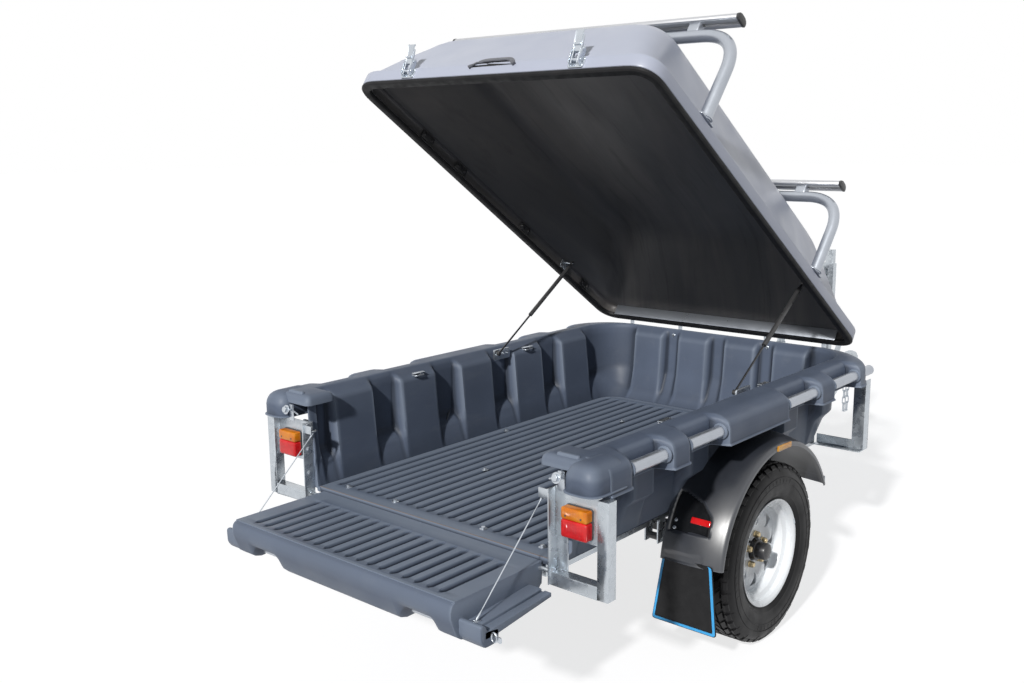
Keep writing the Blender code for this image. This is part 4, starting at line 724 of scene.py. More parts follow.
def grooved_deck(half, rear, front, top, bottom, grooves, start, end, keep=None):
    """A plate with tapered grooves along it; keep moves a point back inside the plate's outline."""
    across = (-0.0140, -0.0115, -0.0080, -0.0045, 0.0045, 0.0080, 0.0115, 0.0140)
    depths = (0.0, 0.22, 0.86, 1.0, 1.0, 0.86, 0.22, 0.0)
    columns = [(-half, 0.0, 0.0)]
    for centre in grooves:
        columns += [(centre, offset, depth) for offset, depth in zip(across, depths)]
    columns.append((half, 0.0, 0.0))
    rows = [rear, start - 0.002]
    rows += [start + 0.006 * i for i in range(8)]
    count = 24
    rows += [start + 0.048 + (end - start - 0.096) * i / count for i in range(1, count)]
    rows += [end - 0.006 * i for i in reversed(range(8))] + [end + 0.002, front]
    points = []
    for y in rows:
        into = min(smooth_step(start, start + 0.034, y), 1 - smooth_step(end - 0.034, end, y))
        for centre, offset, depth in columns:
            x = centre + offset * (0.30 + 0.70 * min(1.0, into * 1.6))
            z = top - GROOVE_DEPTH * depth * into
            points.append((*keep(x, y), z) if keep else (x, y, z))
    wide = len(columns)
    faces = []
    for row in range(len(rows) - 1):
        for i in range(wide - 1):
            a = row * wide + i
            faces.append((a, a + 1, a + wide + 1, a + wide))
    rim = list(range(wide)) + [row * wide + wide - 1 for row in range(1, len(rows))]
    rim += [(len(rows) - 1) * wide + i for i in reversed(range(wide - 1))]
    rim += [row * wide for row in reversed(range(1, len(rows) - 1))]
    start_low = len(points)
    points += [(points[i][0], points[i][1], bottom) for i in rim]
    for k in range(len(rim)):
        j = (k + 1) % len(rim)
        faces.append((rim[k], start_low + k, start_low + j, rim[j]))
    faces.append(tuple(start_low + k for k in range(len(rim))))
    return points, faces


def inside_tub(x, y):
    """Moves a floor point that lies past a rounded front corner back on to the corner."""
    corner_x = FLOOR_HALF - CORNER
    corner_y = FLOOR_FRONT - CORNER
    dx = abs(x) - corner_x
    dy = y - corner_y
    if dx > 0 and dy > 0:
        far = math.hypot(dx, dy)
        reach = CORNER + 0.006
        if far > reach:
            return math.copysign(corner_x + dx * reach / far, x), corner_y + dy * reach / far
    return x, y


def build_tub():
    grooves = [GROOVE_PITCH * i for i in range(-10, 11)]
    deck = grooved_deck(FLOOR_HALF + 0.006, FLOOR_REAR - 0.010, FLOOR_FRONT + 0.006, DECK_TOP, 0.536, grooves,
                        FLOOR_REAR + 0.045, FLOOR_FRONT - 0.035, inside_tub)
    make("tub_floor", deck, FLOOR_DECK, "root", from_axle, smooth_deg=38)
    shapes = [tub_walls()]
    for _, sign in SIDES:
        shapes += cap_ends(sign)
    make("tub_moulding", joined(*shapes), TUB, "root", from_axle, smooth_deg=38, replaces=("tub",))
    wander = [0.0004 * math.sin(i * 2.3) for i in range(21)]
    line = [(-0.535 + 0.0535 * i, TUB_REAR + 0.0058 + wander[i], 0.5550) for i in range(21)]
    make("tub_seam", tube(line, 0.0022, 8), PALE_EDGE, "root", from_axle)


def build_tub_fixings():
    """Bolts in the floor and the walls, and the tie hooks in two recesses on each side."""
    floor_bolts = [(0.205, -0.92), (-0.205, -0.92), (0.45, -0.92), (-0.45, -0.92), (-0.205, -0.46),
                   (0.205, -0.46), (-0.205, 0.435), (0.205, 0.435), (-0.50, 0.0), (0.50, 0.0)]
    heads = [bolt((x, y, DECK_TOP), (0, 0, 1), 0.013, 0.008, 0.013) for x, y in floor_bolts]
    for x in (-0.24, 0.24):
        heads.append(bolt((x, FLOOR_FRONT + 0.098, 0.868), (0, -1, 0), 0.011, 0.006, 0.010))
    for _, sign in SIDES:
        for y in (-0.05, 0.60):
            heads.append(bolt((sign * (FLOOR_HALF + 0.064), y, 0.835), (-sign, 0, 0.02), 0.011, 0.006, 0.010))
    make("tub_bolts", joined(*heads), ZINC, "root", from_axle)
    hooks = []
    for _, sign in SIDES:
        x = sign * (FLOOR_HALF + 0.034)
        wall = x + sign * 0.014
        tip = x - sign * 0.012
        for y in (SIDE_PILLARS[1], SIDE_PILLARS[3]):
            corners = [(wall, y - 0.022, 0.868), (tip, y - 0.022, 0.868), (tip, y + 0.022, 0.868),
                       (wall, y + 0.022, 0.868)]
            hooks.append(tube(filleted(corners, 0.010, 5), 0.004, 10))
            hooks.append(box((x - 0.010, y - 0.030, 0.876), (x + 0.010, y + 0.030, 0.879)))
    make("tie_hooks", joined(*hooks), ZINC, "root", from_axle, bevel=0.0006)


build_tub()
build_tub_fixings()


# Rails in the caps
RAIL_X = 0.722
RAIL_Z = 0.844


def build_rails():
    """The rail tube through each side cap, with a collar at each end of each hand hold."""
    for side, sign in SIDES:
        x = sign * RAIL_X
        profile = [(0.015, -1.0), (0.0185, -1.0), (0.020, -0.9985), (0.020, 0.8485), (0.0185, 0.850),
                   (0.015, 0.850)]
        make(f"rail_{side}", turned(profile, (x, 0, RAIL_Z), "y", 36), TUBE, "root", from_axle,
             replaces=(f"rail_tube_{side}",))
        collars = []
        for low, high in HAND_HOLDS:
            for y, way in ((low + 0.014, 1), (high - 0.014, -1)):
                ring = [(0.0205, 0.0), (0.027, 0.0), (0.027, 0.004 * way), (0.0205, 0.010 * way)]
                collars.append(turned(ring, (x, y, RAIL_Z), "y", 28, True))
        make(f"rail_collars_{side}", joined(*collars), TUB, "root", from_axle)


build_rails()


# Rear frames and lamps, drawn for the right side
POST_PARTS = (
    ((0.5580, -1.0300, 0.500), (0.5625, -0.9853, 0.7947)),
    ((0.5580, -0.9900, 0.500), (0.6020, -0.9853, 0.7947)),
    ((0.7320, -1.0240, 0.500), (0.7700, -0.9853, 0.7947)),
    ((0.5625, -1.0240, 0.500), (0.7320, -1.0200, 0.540)),
    ((0.5625, -1.0240, 0.536), (0.7320, -0.9860, 0.540)),
    ((0.5625, -0.9980, 0.648), (0.7320, -0.9950, 0.7947)),
    ((0.5190, -1.0240, 0.760), (0.5600, -1.0200, 0.790)),
)
TUB_FLANGE = ((0.541, 0.548), (0.560, 0.548), (0.612, 0.600), (0.612, 0.794), (0.566, 0.794), (0.5535, 0.700),
              (0.551, 0.655))
LAMP_X = (0.605, 0.700)
LAMP_Z = (0.660, 0.755)
LAMP_SPLIT = 0.716
HOUSING_LEVELS = ((0.0, -0.9953), (0.0, -1.003), (0.002, -1.0045))
LENS_LEVELS = ((0.0, -1.0040), (0.0, -1.0265), (0.001, -1.0290), (0.004, -1.0312), (0.010, -1.0322))
SWING_X = 0.612
ROPE_TOP_X = 0.526


def build_frame_posts(side, sign):
    """An angle beside the tub, a square tube outside it, a rail under them and the lamp's plate."""
    shapes = [side_box(sign, low, high) for low, high in POST_PARTS]
    shapes.append(turned([(0.007, sign * 0.480), (0.007, sign * 0.562)], (0, -1.000, 0.530), "x", 20))
    shapes.append(turned([(0.006, -1.0215), (0.006, -0.998)], (sign * ROPE_TOP_X, 0, 0.7684), "y", 16))
    make(f"rear_posts_{side}", joined(*shapes), GALV, "root", from_axle, bevel=0.0013, smooth_deg=30,
         replaces=(f"rear_frame_{side}",))
    flange = mirrored(prism(TUB_FLANGE, "y", (-0.9848, -0.9760)), sign)
    make(f"tub_flange_{side}", flange, TUB, "root", from_axle, bevel=0.0015)


def build_frame_bolts(side, sign):
    heads = [bolt((sign * 0.5585, -1.010, z), (-sign, 0, 0), 0.010, 0.006, 0.009)
             for z in (0.609, 0.697, 0.782)]
    heads.append(bolt((sign * 0.562, -1.010, 0.531), (sign, 0, 0), 0.019, 0.014, 0.016))
    make(f"frame_bolts_{side}", joined(*heads), ZINC, "root", from_axle)
    x = sign * SWING_X
    swing = [tube([(x, -1.034, 0.838), (x, -1.062, 0.846)], 0.0045, 12),
             bolt((x, -1.056, 0.844), (0, -1, 0.28), 0.020, 0.012, 0.017),
             tube([(x, -1.030, 0.838), (sign * 0.570, -1.036, 0.828)], 0.0032, 10),
             box((x - 0.012, -1.034, 0.7995), (x + 0.012, -1.031, 0.858))]
    make(f"swing_bolt_{side}", joined(*swing), ZINC, "root", from_axle, bevel=0.0006)


def build_lamp(side, sign):
    """A tail lamp: a shallow housing, an amber lens over a red one, and two screws."""
    low_x, high_x = sorted(sign * x for x in LAMP_X)

    def upright(x, z, y):
        return x, y, z

    housing = pillow((low_x, LAMP_Z[0]), (high_x, LAMP_Z[1]), 0.010, HOUSING_LEVELS, upright, 6)
    make(f"lamp_housing_{side}", housing, BLACK, "root", from_axle, replaces=(f"tail_light_{side}",))
    lenses = (("amber", LAMP_SPLIT + 0.0006, 0.7525, AMBER), ("red", 0.6625, LAMP_SPLIT, RED))
    for label, low_z, high_z, coat in lenses:
        cover = pillow((low_x + 0.001, low_z), (high_x - 0.001, high_z), 0.007, LENS_LEVELS, upright)
        make(f"lens_{label}_{side}", cover, coat, "root", from_axle)
    screw = [(0.0030, 0.0), (0.0030, -0.0015), (0.0015, -0.0022)]
    screws = [turned(screw, (x, -1.0318, 0.729), "y", 12) for x in (low_x + 0.020, high_x - 0.020)]
    make(f"lamp_screws_{side}", joined(*screws), BLACK, "root", from_axle)


for side, sign in SIDES:
    build_frame_posts(side, sign)
    build_frame_bolts(side, sign)
    build_lamp(side, sign)


# Tailgate: outlines are (distance forward of the hinge, height above it)
GATE_HALF = 0.503
GATE_BODY = ((-0.014, -0.050), (-0.020, -0.084), (-0.026, -0.094), (-0.036, -0.100), (-0.250, -0.100),
             (-0.262, -0.094), (-0.266, -0.050))
GATE_HINGE = ((0.0, 0.0170), (0.006, 0.0150), (0.011, 0.009), (0.012, 0.0), (0.012, -0.040), (0.008, -0.052),
              (-0.012, -0.054), (-0.012, 0.0172))
GATE_FACE = ((0.010, 0.006), (0.004, 0.0150), (-0.004, 0.0172), (-0.350, 0.0166), (-0.366, 0.0130),
             (-0.3755, 0.004), (-0.3792, -0.012), (-0.3785, -0.030), (-0.371, -0.048), (-0.352, -0.062),
             (-0.262, -0.092), (-0.030, -0.092), (0.010, -0.050))
GATE_LEDGE = ((-0.046, -0.0375), (-0.046, -0.048), (-0.290, -0.072), (-0.326, -0.070), (-0.326, -0.052),
              (-0.290, -0.052))
GATE_UPPER = ((-0.050, -0.0362), (-0.050, -0.044), (-0.326, -0.066), (-0.326, -0.0518), (-0.290, -0.0518))
GATE_EDGE = ((-0.046, -0.0405), (-0.046, -0.053), (-0.288, -0.080), (-0.330, -0.080), (-0.330, -0.060),
             (-0.290, -0.0575))
GATE_LOBE = ((-0.272, -0.064), (-0.276, -0.106), (-0.332, -0.106), (-0.348, -0.084), (-0.3495, -0.036),
             (-0.330, -0.036), (-0.326, -0.056))
LOBE_MIDDLE = Vector((-0.310, -0.075))
ROPE_FOOT_X = 0.530


def gate_section(x):
    """Outline of the tailgate's rear skirt at a place along it."""
    reach = abs(x)
    bulge = 1 - smooth_step(0.262, 0.304, reach)
    lobe = smooth_step(0.404, 0.436, reach)
    low = -0.058 - 0.056 * bulge - 0.048 * lobe
    share = (-0.058 - low) / 0.056
    front = -0.262 - 0.030 * lobe
    under = [(front, -0.050), (front, low + 0.014 * share), (front - 0.014, low),
             (-0.318, low - 0.001 * share), (-0.340, low + 0.006 * share), (-0.356, low + 0.020 * share),
             (-0.372, -0.050 + 0.004 * (1 - share))]
    return under + [(-0.3795, -0.030), (-0.3800, -0.012), (-0.3765, 0.002), (-0.372, 0.0095),
                    (-0.364, 0.0135), (-0.350, 0.0165)]


def gate_end(sign):
    """One end of the tailgate: its face, its stepped ledge and the lobe that holds the bar."""
    inner = GATE_HALF - 0.01
    lower = [(y, z - 0.008) for y, z in GATE_LEDGE]
    shapes = [prism(GATE_FACE, "x", (GATE_HALF - 0.010, GATE_HALF + 0.0008)),
              prism(GATE_UPPER, "x", (inner, 0.552)), prism(GATE_LEDGE, "x", (inner, 0.545)),
              prism(GATE_EDGE, "x", (0.561, 0.585)), prism(lower, "x", (inner, 0.566))]
    outline = filleted(GATE_LOBE, 0.010, 3, True)
    rings = []
    for x, inset in ((GATE_HALF - 0.016, 0.0), (0.5795, 0.0), (0.583, 0.001), (0.585, 0.004)):
        rings.append([(x, y + (LOBE_MIDDLE.x - y) * inset / 0.035, z + (LOBE_MIDDLE.y - z) * inset / 0.035)
                      for y, z in outline])
    shapes.append(loft(rings))
    return [mirrored(shape, sign) for shape in shapes]


def build_tailgate():
    grooves = [GROOVE_PITCH * (i - 8.5) for i in range(18)]
    deck = grooved_deck(GATE_HALF, -0.362, 0.010, 0.0175, -0.054, grooves, -0.348, -0.058)
    make("tailgate_deck", deck, GATE_DECK, "tailgate", from_gate, smooth_deg=38)
    skirt = []
    steps = 170
    for i in range(steps + 1):
        x = -GATE_HALF + 2 * GATE_HALF * i / steps
        skirt.append([(x, y, z) for y, z in gate_section(x)])
    shapes = [loft(skirt)]
    shapes += [prism(outline, "x", (-GATE_HALF, GATE_HALF)) for outline in (GATE_BODY, GATE_HINGE)]
    for _, sign in SIDES:
        shapes += gate_end(sign)
    make("tailgate_moulding", joined(*shapes), TUB, "tailgate", from_gate, bevel=0.0016, smooth_deg=38,
         replaces=("tailgate",))
    profile = [(0.012, -0.501), (0.019, -0.501), (0.019, 0.501), (0.012, 0.501)]
    make("tailgate_bar", turned(profile, (0, -0.300, -0.080), "x", 36), TUBE, "tailgate", from_gate,
         replaces=("tailgate_tube",))


def build_gate_eyes():
    """The eye and tab at each end of the bar, and the foot of each stay rope."""
    for side, sign in SIDES:
        x = sign * 0.586
        ring = []
        for i in range(24):
            angle = 2 * math.pi * i / 24
            out = 0.008 + 0.010 * math.cos(angle)
            ring.append((x + sign * out, -0.306, -0.079 + 0.013 * math.sin(angle)))
        near = x + sign * 0.004
        far = x + sign * 0.036
        tab = filleted([(near, -0.0865), (far, -0.0900), (far, -0.0720), (near, -0.0720)], 0.006, 4, True)
        shapes = [tube(ring, 0.0033, 10, True), prism(tab, "y", (-0.3085, -0.3045))]
        make(f"gate_eye_{side}", joined(*shapes), ZINC, "tailgate", from_gate, bevel=0.0005,
             replaces=(f"gate_latch_{side}",))
        x = sign * ROPE_FOOT_X
        foot = [box((x - 0.009, -0.322, -0.0516), (x + 0.009, -0.296, -0.0486)),
                bolt((x, -0.316, -0.0486), (0, 0, 1), 0.008, 0.006, 0.007)]
        make(f"cable_foot_{side}", joined(*foot), ZINC, "tailgate", from_gate, bevel=0.0005)


def build_cables():
    """Wire ropes from the rear posts to the tailgate's ledges, drawn straight."""
    count = 41
    for side, sign in SIDES:
        top = Vector(from_axle(sign * ROPE_TOP_X, -1.004, 0.7668))
        foot = Vector(from_gate(sign * ROPE_FOOT_X, -0.310, -0.0500))
        route = [top.lerp(foot, i / (count - 1)) for i in range(count)]
        radius = [0.0036 if i in (1, 2, count - 3, count - 2) else 0.0018 for i in range(count)]
        obj = make(f"stay_rope_{side}", tube(route, radius, 10), ZINC, None, replaces=(f"stay_cable_{side}",))
        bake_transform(obj)


build_tailgate()
build_gate_eyes()
build_cables()


# Lid: rows of (inset at the sides, front and rear, height, corner radius)
LID_ROWS = (
    (0.004, 0.004, 0.004, -0.004, 0.090),
    (0.001, 0.001, 0.001, -0.002, 0.094),
    (0.000, 0.000, 0.000, 0.002, 0.094),
    (0.000, 0.000, 0.000, 0.034, 0.094),
    (0.002, 0.002, 0.001, 0.039, 0.093),
    (0.007, 0.007, 0.003, 0.0425, 0.090),
    (0.030, 0.034, 0.009, 0.0445, 0.082),
    (0.037, 0.043, 0.011, 0.0465, 0.080),
    (0.043, 0.052, 0.013, 0.052, 0.080),
    (0.048, 0.061, 0.018, 0.062, 0.080),
    (0.080, 0.125, 0.054, 0.130, 0.088),
    (0.120, 0.225, 0.106, 0.214, 0.100),
    (0.132, 0.262, 0.122, 0.242, 0.105),
    (0.143, 0.290, 0.138, 0.264, 0.110),
    (0.157, 0.318, 0.158, 0.282, 0.112),
    (0.180, 0.352, 0.190, 0.297, 0.110),
    (0.225, 0.410, 0.245, 0.308, 0.100),
    (0.310, 0.500, 0.330, 0.314, 0.080),
)
LID_HALF = 0.645
LID_FRONT = 0.012
LID_REAR = 1.909
LID_SKIN = 0.005
LINER_SKIN = 0.004
GASKET_TOP = -0.0043
RIM_ROWS = 6
CUT_ROWS = 3
LATCH_X = 0.368
LID_PLATES = (1.30, 1.52, 0.30, 0.82)


def lid_ring(row, inset, drop):
    """The lid's outline at one of its rows, moved in and down."""
    side, front, rear, height, radius = row
    half = LID_HALF - side - inset
    outline = rounded_rect((-half, -(LID_REAR - rear - inset)), (half, -(LID_FRONT + front + inset)),
                           max(radius - inset, 0.012), 9)
    return [(p[0], p[1], height - drop) for p in outline]


def lid_skin(inset, thickness, rim_outer, rim_inner):
    """A shell inside the lid's rows; its rim has insets of its own, and the lowest rows don't drop."""
    outside = []
    inside = []
    for i, row in enumerate(LID_ROWS):
        in_rim = i < RIM_ROWS
        lowest = i < CUT_ROWS
        outside.append(lid_ring(row, rim_outer if in_rim else inset, 0.0 if lowest else inset))
        deep = inset + thickness
        inside.append(lid_ring(row, rim_inner if in_rim else deep, 0.0 if lowest else deep))
    return outside[::-1] + inside


def on_lid(x, y, z):
    return from_lid(x, -y, z)


def build_handle():
    """The arched grip in the lid's rear face, over a dark sheet painted as the shade of its recess."""
    arch = [(-0.084, 0.024), (-0.044, 0.060), (0.074, 0.061), (0.113, 0.026)]
    line = filleted(arch, [0.0, 0.022, 0.022, 0.0], 7)
    last = len(line) - 1
    rings = []
    for i, point in enumerate(line):
        heading = (line[min(i + 1, last)] - line[max(i - 1, 0)]).normalized()
        inward = Vector((heading.y, -heading.x))
        wide = 0.0065 + 0.0035 * smooth_step(0, 5, min(i, last - i))
        section = ((-wide, 0.0), (-wide, 0.007), (-wide + 0.003, 0.010), (wide - 0.003, 0.010), (wide, 0.007),
                   (wide, 0.0))
        ring = []
        for across, out in section:
            place = point + inward * across
            ring.append((place.x, -LID_REAR + rear_face(place.y) - out, place.y))
        rings.append(ring)
    make("handle_grip", loft(rings), HANDLE, "lid", on_lid, bevel=0.0006)
    # Painted shade: a thin black sheet on the face stands in for the shadowed hollow behind the grip.
    hollow = [(-0.076, 0.026), (-0.042, 0.054), (0.072, 0.055), (0.105, 0.028)]
    dark = filleted(hollow, [0.0, 0.018, 0.018, 0.0], 6)
    rings = [[(x, -LID_REAR + rear_face(z) - depth, z) for x, z in dark] for depth in (0.0004, 0.0014)]
    make("handle_shade_sheet", loft(rings), RUBBER, "lid", on_lid)


def rear_face(height):
    """How far the lid's rear face lies in from its edge at a height."""
    for low, high in zip(LID_ROWS, LID_ROWS[1:]):
        if height <= high[3]:
            share = max(0.0, (height - low[3]) / max(high[3] - low[3], 1e-6))
            return low[2] + (high[2] - low[2]) * share
    return LID_ROWS[-1][2]


def build_lid():
    make("lid_outer", loft(lid_skin(0.0, LID_SKIN, 0.0, 0.030)), LID, "lid", on_lid, smooth_deg=34,
         replaces=("lid_shell",))
    liner = lid_skin(LID_SKIN + 0.0003, LINER_SKIN, 0.0303, 0.034)
    make("lid_inner", loft(liner), LINER, "lid", on_lid, smooth_deg=34, replaces=("lid_liner",))
    section = ((0.002, 0.0), (0.0, 0.004), (0.001, 0.010), (0.006, 0.0145), (0.026, 0.0147), (0.032, 0.011),
               (0.034, 0.006), (0.034, 0.0))
    rings = [lid_ring((0.0, 0.0, 0.0, GASKET_TOP - down, 0.094), inset, 0.0) for inset, down in section]
    make("lid_gasket", loft(rings, True), RUBBER, "lid", on_lid, replaces=("lid_seal",))
    angle = [box((-0.560, -0.060, -0.014), (0.560, -0.0562, 0.034)),
             box((-0.560, -0.0562, 0.0302), (0.560, -0.044, 0.034))]
    make("lid_front_angle", joined(*angle), TUBE, "lid", on_lid, bevel=0.0008)
    build_handle()


def build_lid_plates():
    """Fixing plates inside the lid's rim, with two bolts each."""
    shapes = []
    for _, sign in SIDES:
        for along in LID_PLATES:
            shapes.append(side_box(sign, (0.6030, -along - 0.035, 0.002), (0.6062, -along + 0.035, 0.030)))
            for offset in (-0.022, 0.022):
                place = (sign * 0.603, -along + offset, 0.016)
                shapes.append(bolt(place, (-sign, 0, 0), 0.010, 0.007, 0.008))
    make("lid_bracket_plates", joined(*shapes), BLACK, "lid", on_lid, bevel=0.0005)


build_lid()
build_lid_plates()


def build_latch(side, sign):
    """An over-centre catch: a plate, two cheeks with pins, a lever that leans out, a wire loop and rivets."""
    x = sign * LATCH_X
    back = -(LID_REAR + 0.0004)
    plate = rounded_rect((x - 0.029, -0.002), (x + 0.029, 0.036), 0.007, 4)
    shapes = [prism(plate, "y", (back, back - 0.003))]
    cheek = filleted([(back - 0.002, 0.000), (back - 0.022, 0.008), (back - 0.026, 0.052),
                      (back - 0.016, 0.070), (back - 0.004, 0.060), (back - 0.002, 0.034)], 0.007, 3, True)
    for low_x in (-0.0205, 0.0175):
        shapes.append(prism(cheek, "x", (x + low_x, x + low_x + 0.003)))
    for z, reach in ((0.020, 0.012), (0.056, 0.016)):
        shapes.append(turned([(0.005, -0.024), (0.005, 0.024)], (x, back - reach, z), "x", 18))
    lever = [(back - 0.012, 0.044), (back - 0.019, 0.046), (back - 0.040, 0.104), (back - 0.038, 0.112),
             (back - 0.033, 0.111), (back - 0.034, 0.103)]
    rings = []
    for offset, edge in ((-0.015, 0.003), (-0.012, 0.0), (0.012, 0.0), (0.015, 0.003)):
        rings.append([(x + offset, y - edge, z) for y, z in lever])
    shapes.append(loft(rings))
    arm = [(back - 0.010, 0.040), (back - 0.022, 0.044), (back - 0.037, 0.094), (back - 0.029, 0.096)]
    for offset in (-0.015, 0.015):
        shapes.append(prism(arm, "x", (x + offset - 0.0015, x + offset + 0.0015)))
    loop = filleted([(x - 0.012, back - 0.014, 0.006), (x - 0.012, back - 0.026, 0.078),
                     (x + 0.012, back - 0.026, 0.078), (x + 0.012, back - 0.014, 0.006)], 0.009, 5)
    shapes.append(tube(loop, 0.0026, 10))
    shapes.append(turned([(0.0045, -0.011), (0.0045, 0.011)], (x, back - 0.030, 0.066), "x", 14))
    for dx in (-0.025, 0.025):
        for z in (0.005, 0.029):
            shapes.append(bolt((x + dx, back - 0.003, z), (0, -1, 0), 0.006, 0.003, 0.004))
    make(f"toggle_latch_{side}", joined(*shapes), ZINC, "lid", on_lid, bevel=0.0005,
         replaces=(f"lid_latch_{side}",))


for side, sign in SIDES:
    build_latch(side, sign)


# Roof bars: sections of (distance across, height above the bar's underside)
BAR_LOW = 0.420
BAR_MIDDLE = 0.013
BAR_SECTION = ((-0.0285, 0.008), (-0.026, 0.002), (-0.021, 0.0), (-0.008, 0.0), (-0.008, 0.0025),
               (-0.011, 0.0025), (-0.011, 0.009), (0.011, 0.009), (0.011, 0.0025), (0.008, 0.0025),
               (0.008, 0.0), (0.021, 0.0), (0.026, 0.002), (0.0285, 0.008), (0.0275, 0.015),
               (0.022, 0.0215), (0.012, 0.0255), (0.004, 0.0265), (0.004, 0.0245), (-0.004, 0.0245),
               (-0.004, 0.0265), (-0.012, 0.0255), (-0.022, 0.0215), (-0.0275, 0.015))
CAP_SECTION = ((-0.0295, 0.008), (-0.027, 0.001), (-0.021, -0.0008), (0.021, -0.0008), (0.027, 0.001),
               (0.0295, 0.008), (0.0285, 0.0155), (0.0225, 0.0225), (0.012, 0.0267), (-0.012, 0.0267),
               (-0.0225, 0.0225), (-0.0285, 0.0155))
HOOP_FOOT = LID_HALF - 0.014
HOOP_LEDGE = 0.0463
HOOP_TOP = 0.378


def build_roof_bar(label, along):
    """A slotted bar across the lid, with end caps and a rubber strip in its upper slot."""
    section = [(-along + across, BAR_LOW + up) for across, up in BAR_SECTION]
    make(f"roof_bar_{label}", prism(section, "x", (-0.628, 0.628)), ALUMINIUM, "lid", on_lid, bevel=0.0006,
         smooth_deg=30, replaces=(f"crossbar_{label}",))
    caps = []
    for sign in (-1, 1):
        for x0, x1, scale in ((0.6265, 0.634, 1.0), (0.634, 0.636, 0.90)):
            rings = []
            for x, s in ((x0, 1.0), (x1, scale)):
                rings.append([(sign * x, -along + across * s, BAR_LOW + BAR_MIDDLE + (up - BAR_MIDDLE) * s)
                              for across, up in CAP_SECTION])
            caps.append(loft(rings))
    make(f"bar_ends_{label}", joined(*caps), BLACK, "lid", on_lid, bevel=0.0008)
    strip = box((-0.6262, -along - 0.0035, BAR_LOW + 0.0243), (0.6262, -along + 0.0035, BAR_LOW + 0.0262))
    make(f"bar_strip_{label}", strip, RUBBER, "lid", on_lid)


def build_hoop(label, along):
    """The bent tube under a roof bar, with its feet, collars and clamps."""
    foot_z = HOOP_LEDGE + 0.002
    corners = [(-HOOP_FOOT, -along, foot_z), (-0.652, -along, HOOP_TOP), (0.652, -along, HOOP_TOP),
               (HOOP_FOOT, -along, foot_z)]
    hoop = tube(filleted(corners, [0.0, 0.150, 0.150, 0.0], 18), 0.021, 28)
    make(f"hoop_{label}", hoop, TUBE, "lid", on_lid, smooth_deg=40, replaces=(f"rack_hoop_{label}",))
    fixings = []
    for sign in (-1, 1):
        x = sign * HOOP_FOOT
        plate = rounded_rect((x - 0.020, -along - 0.042), (x + 0.014, -along + 0.042), 0.008, 4)
        fixings.append(prism(plate, "z", (HOOP_LEDGE, HOOP_LEDGE + 0.005)))
        collar = [(0.0215, 0.004), (0.026, 0.005), (0.0235, 0.012), (0.0212, 0.013)]
        fixings.append(turned(collar, (x, -along, HOOP_LEDGE), "z", 28))
        for offset in (-0.031, 0.031):
            place = (x - sign * 0.003, -along + offset, HOOP_LEDGE + 0.005)
            fixings.append(bolt(place, (0, 0, 1), 0.010, 0.007, 0.008))
        x = sign * 0.47
        clamp = rounded_rect((x - 0.022, -along - 0.018), (x + 0.022, -along + 0.018), 0.006, 4)
        fixings.append(prism(clamp, "z", (0.388, BAR_LOW + 0.002)))
    make(f"hoop_feet_{label}", joined(*fixings), TUBE, "lid", on_lid, bevel=0.0006)


for label, along in (("rear", 1.555), ("front", 0.551)):
    build_roof_bar(label, along)
    build_hoop(label, along)


# Struts and hinges
def build_struts():
    for side, sign in SIDES:
        refined(f"strut_cylinder_{side}", BLACK, 0.0008, 40)
        refined(f"strut_rod_{side}", BLACK, 0.0006, 40)
        refined(f"strut_anchor_{side}", ZINC, 0.0010, 30)
        low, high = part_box(f"strut_bracket_{side}")
        x = min(abs(low.x), abs(high.x))
        outline = rounded_rect((low.y - 0.002, low.z), (high.y + 0.002, high.z), 0.012, 5)
        shapes = [mirrored(prism(outline, "x", (x + 0.0050, x + 0.0085)), sign)]
        for y in (low.y + 0.016, (low.y + high.y) / 2 + 0.008, high.y - 0.016):
            place = (sign * (x + 0.0055), y, (low.z + high.z) / 2)
            shapes.append(bolt(place, (-sign, 0, 0), 0.010, 0.007, 0.009))
        make(f"strut_plate_{side}", joined(*shapes), ZINC, "root", bevel=0.0005)
        refined(f"strut_bracket_{side}", ZINC, 0.0006, 30)
    refined("lid_hinge_strip", ZINC, 0.0006, 40)
    refined("hinge_rail", ZINC, 0.0006, 40)


build_struts()


# Guards: outlines on the guard's skin are (x, degrees round the axle from the front)
GUARD_RADIUS = 0.430
GUARD_EDGE = 0.757
GUARD_START = 25.0
GUARD_SWEEP = 146.0
WALL_LINE = ((0.006, 0.539), (0.038, 0.652), (0.070, 0.697), (0.070, 0.862))
GUARD_LIP = ((0.7640, 0.4090), (0.7690, 0.4070), (0.7725, 0.4045), (0.7742, 0.4015), (0.7750, 0.3985),
             (0.7750, 0.3910), (0.7715, 0.3905), (0.7708, 0.3960), (0.7670, 0.3990), (0.7600, 0.4020),
             (0.7450, 0.4035))
REFLECTOR_LEVELS = ((0.0, 0.4236), (0.0, 0.4262), (0.0012, 0.4272), (0.004, 0.4276))
MARKER_LEVELS = ((0.0, 0.7748), (0.0, 0.7775), (0.002, 0.7790), (0.005, 0.7795))
PANEL = ((0.566, 138.5), (0.590, 138.0), (0.668, 142.0), (0.711, 148.0), (0.719, 157.0), (0.566, 158.2))
STEP = ((0.566, 167.0), (0.706, 165.9), (0.716, 171.0), (0.566, 171.0))


def wall_out(z):
    """How far the tub's outer wall stands out from the floor's edge at a height."""
    if z < WALL_LINE[0][1]:
        return 0.013
    for (out_a, z_a), (out_b, z_b) in zip(WALL_LINE, WALL_LINE[1:]):
        if z <= z_b:
            return out_a + (out_b - out_a) * max(0.0, (z - z_a) / (z_b - z_a))
    return WALL_LINE[-1][0]


def on_skin(x, degrees):
    """A place on the guard's skin laid out flat, in metres."""
    return x, math.radians(degrees) * GUARD_RADIUS


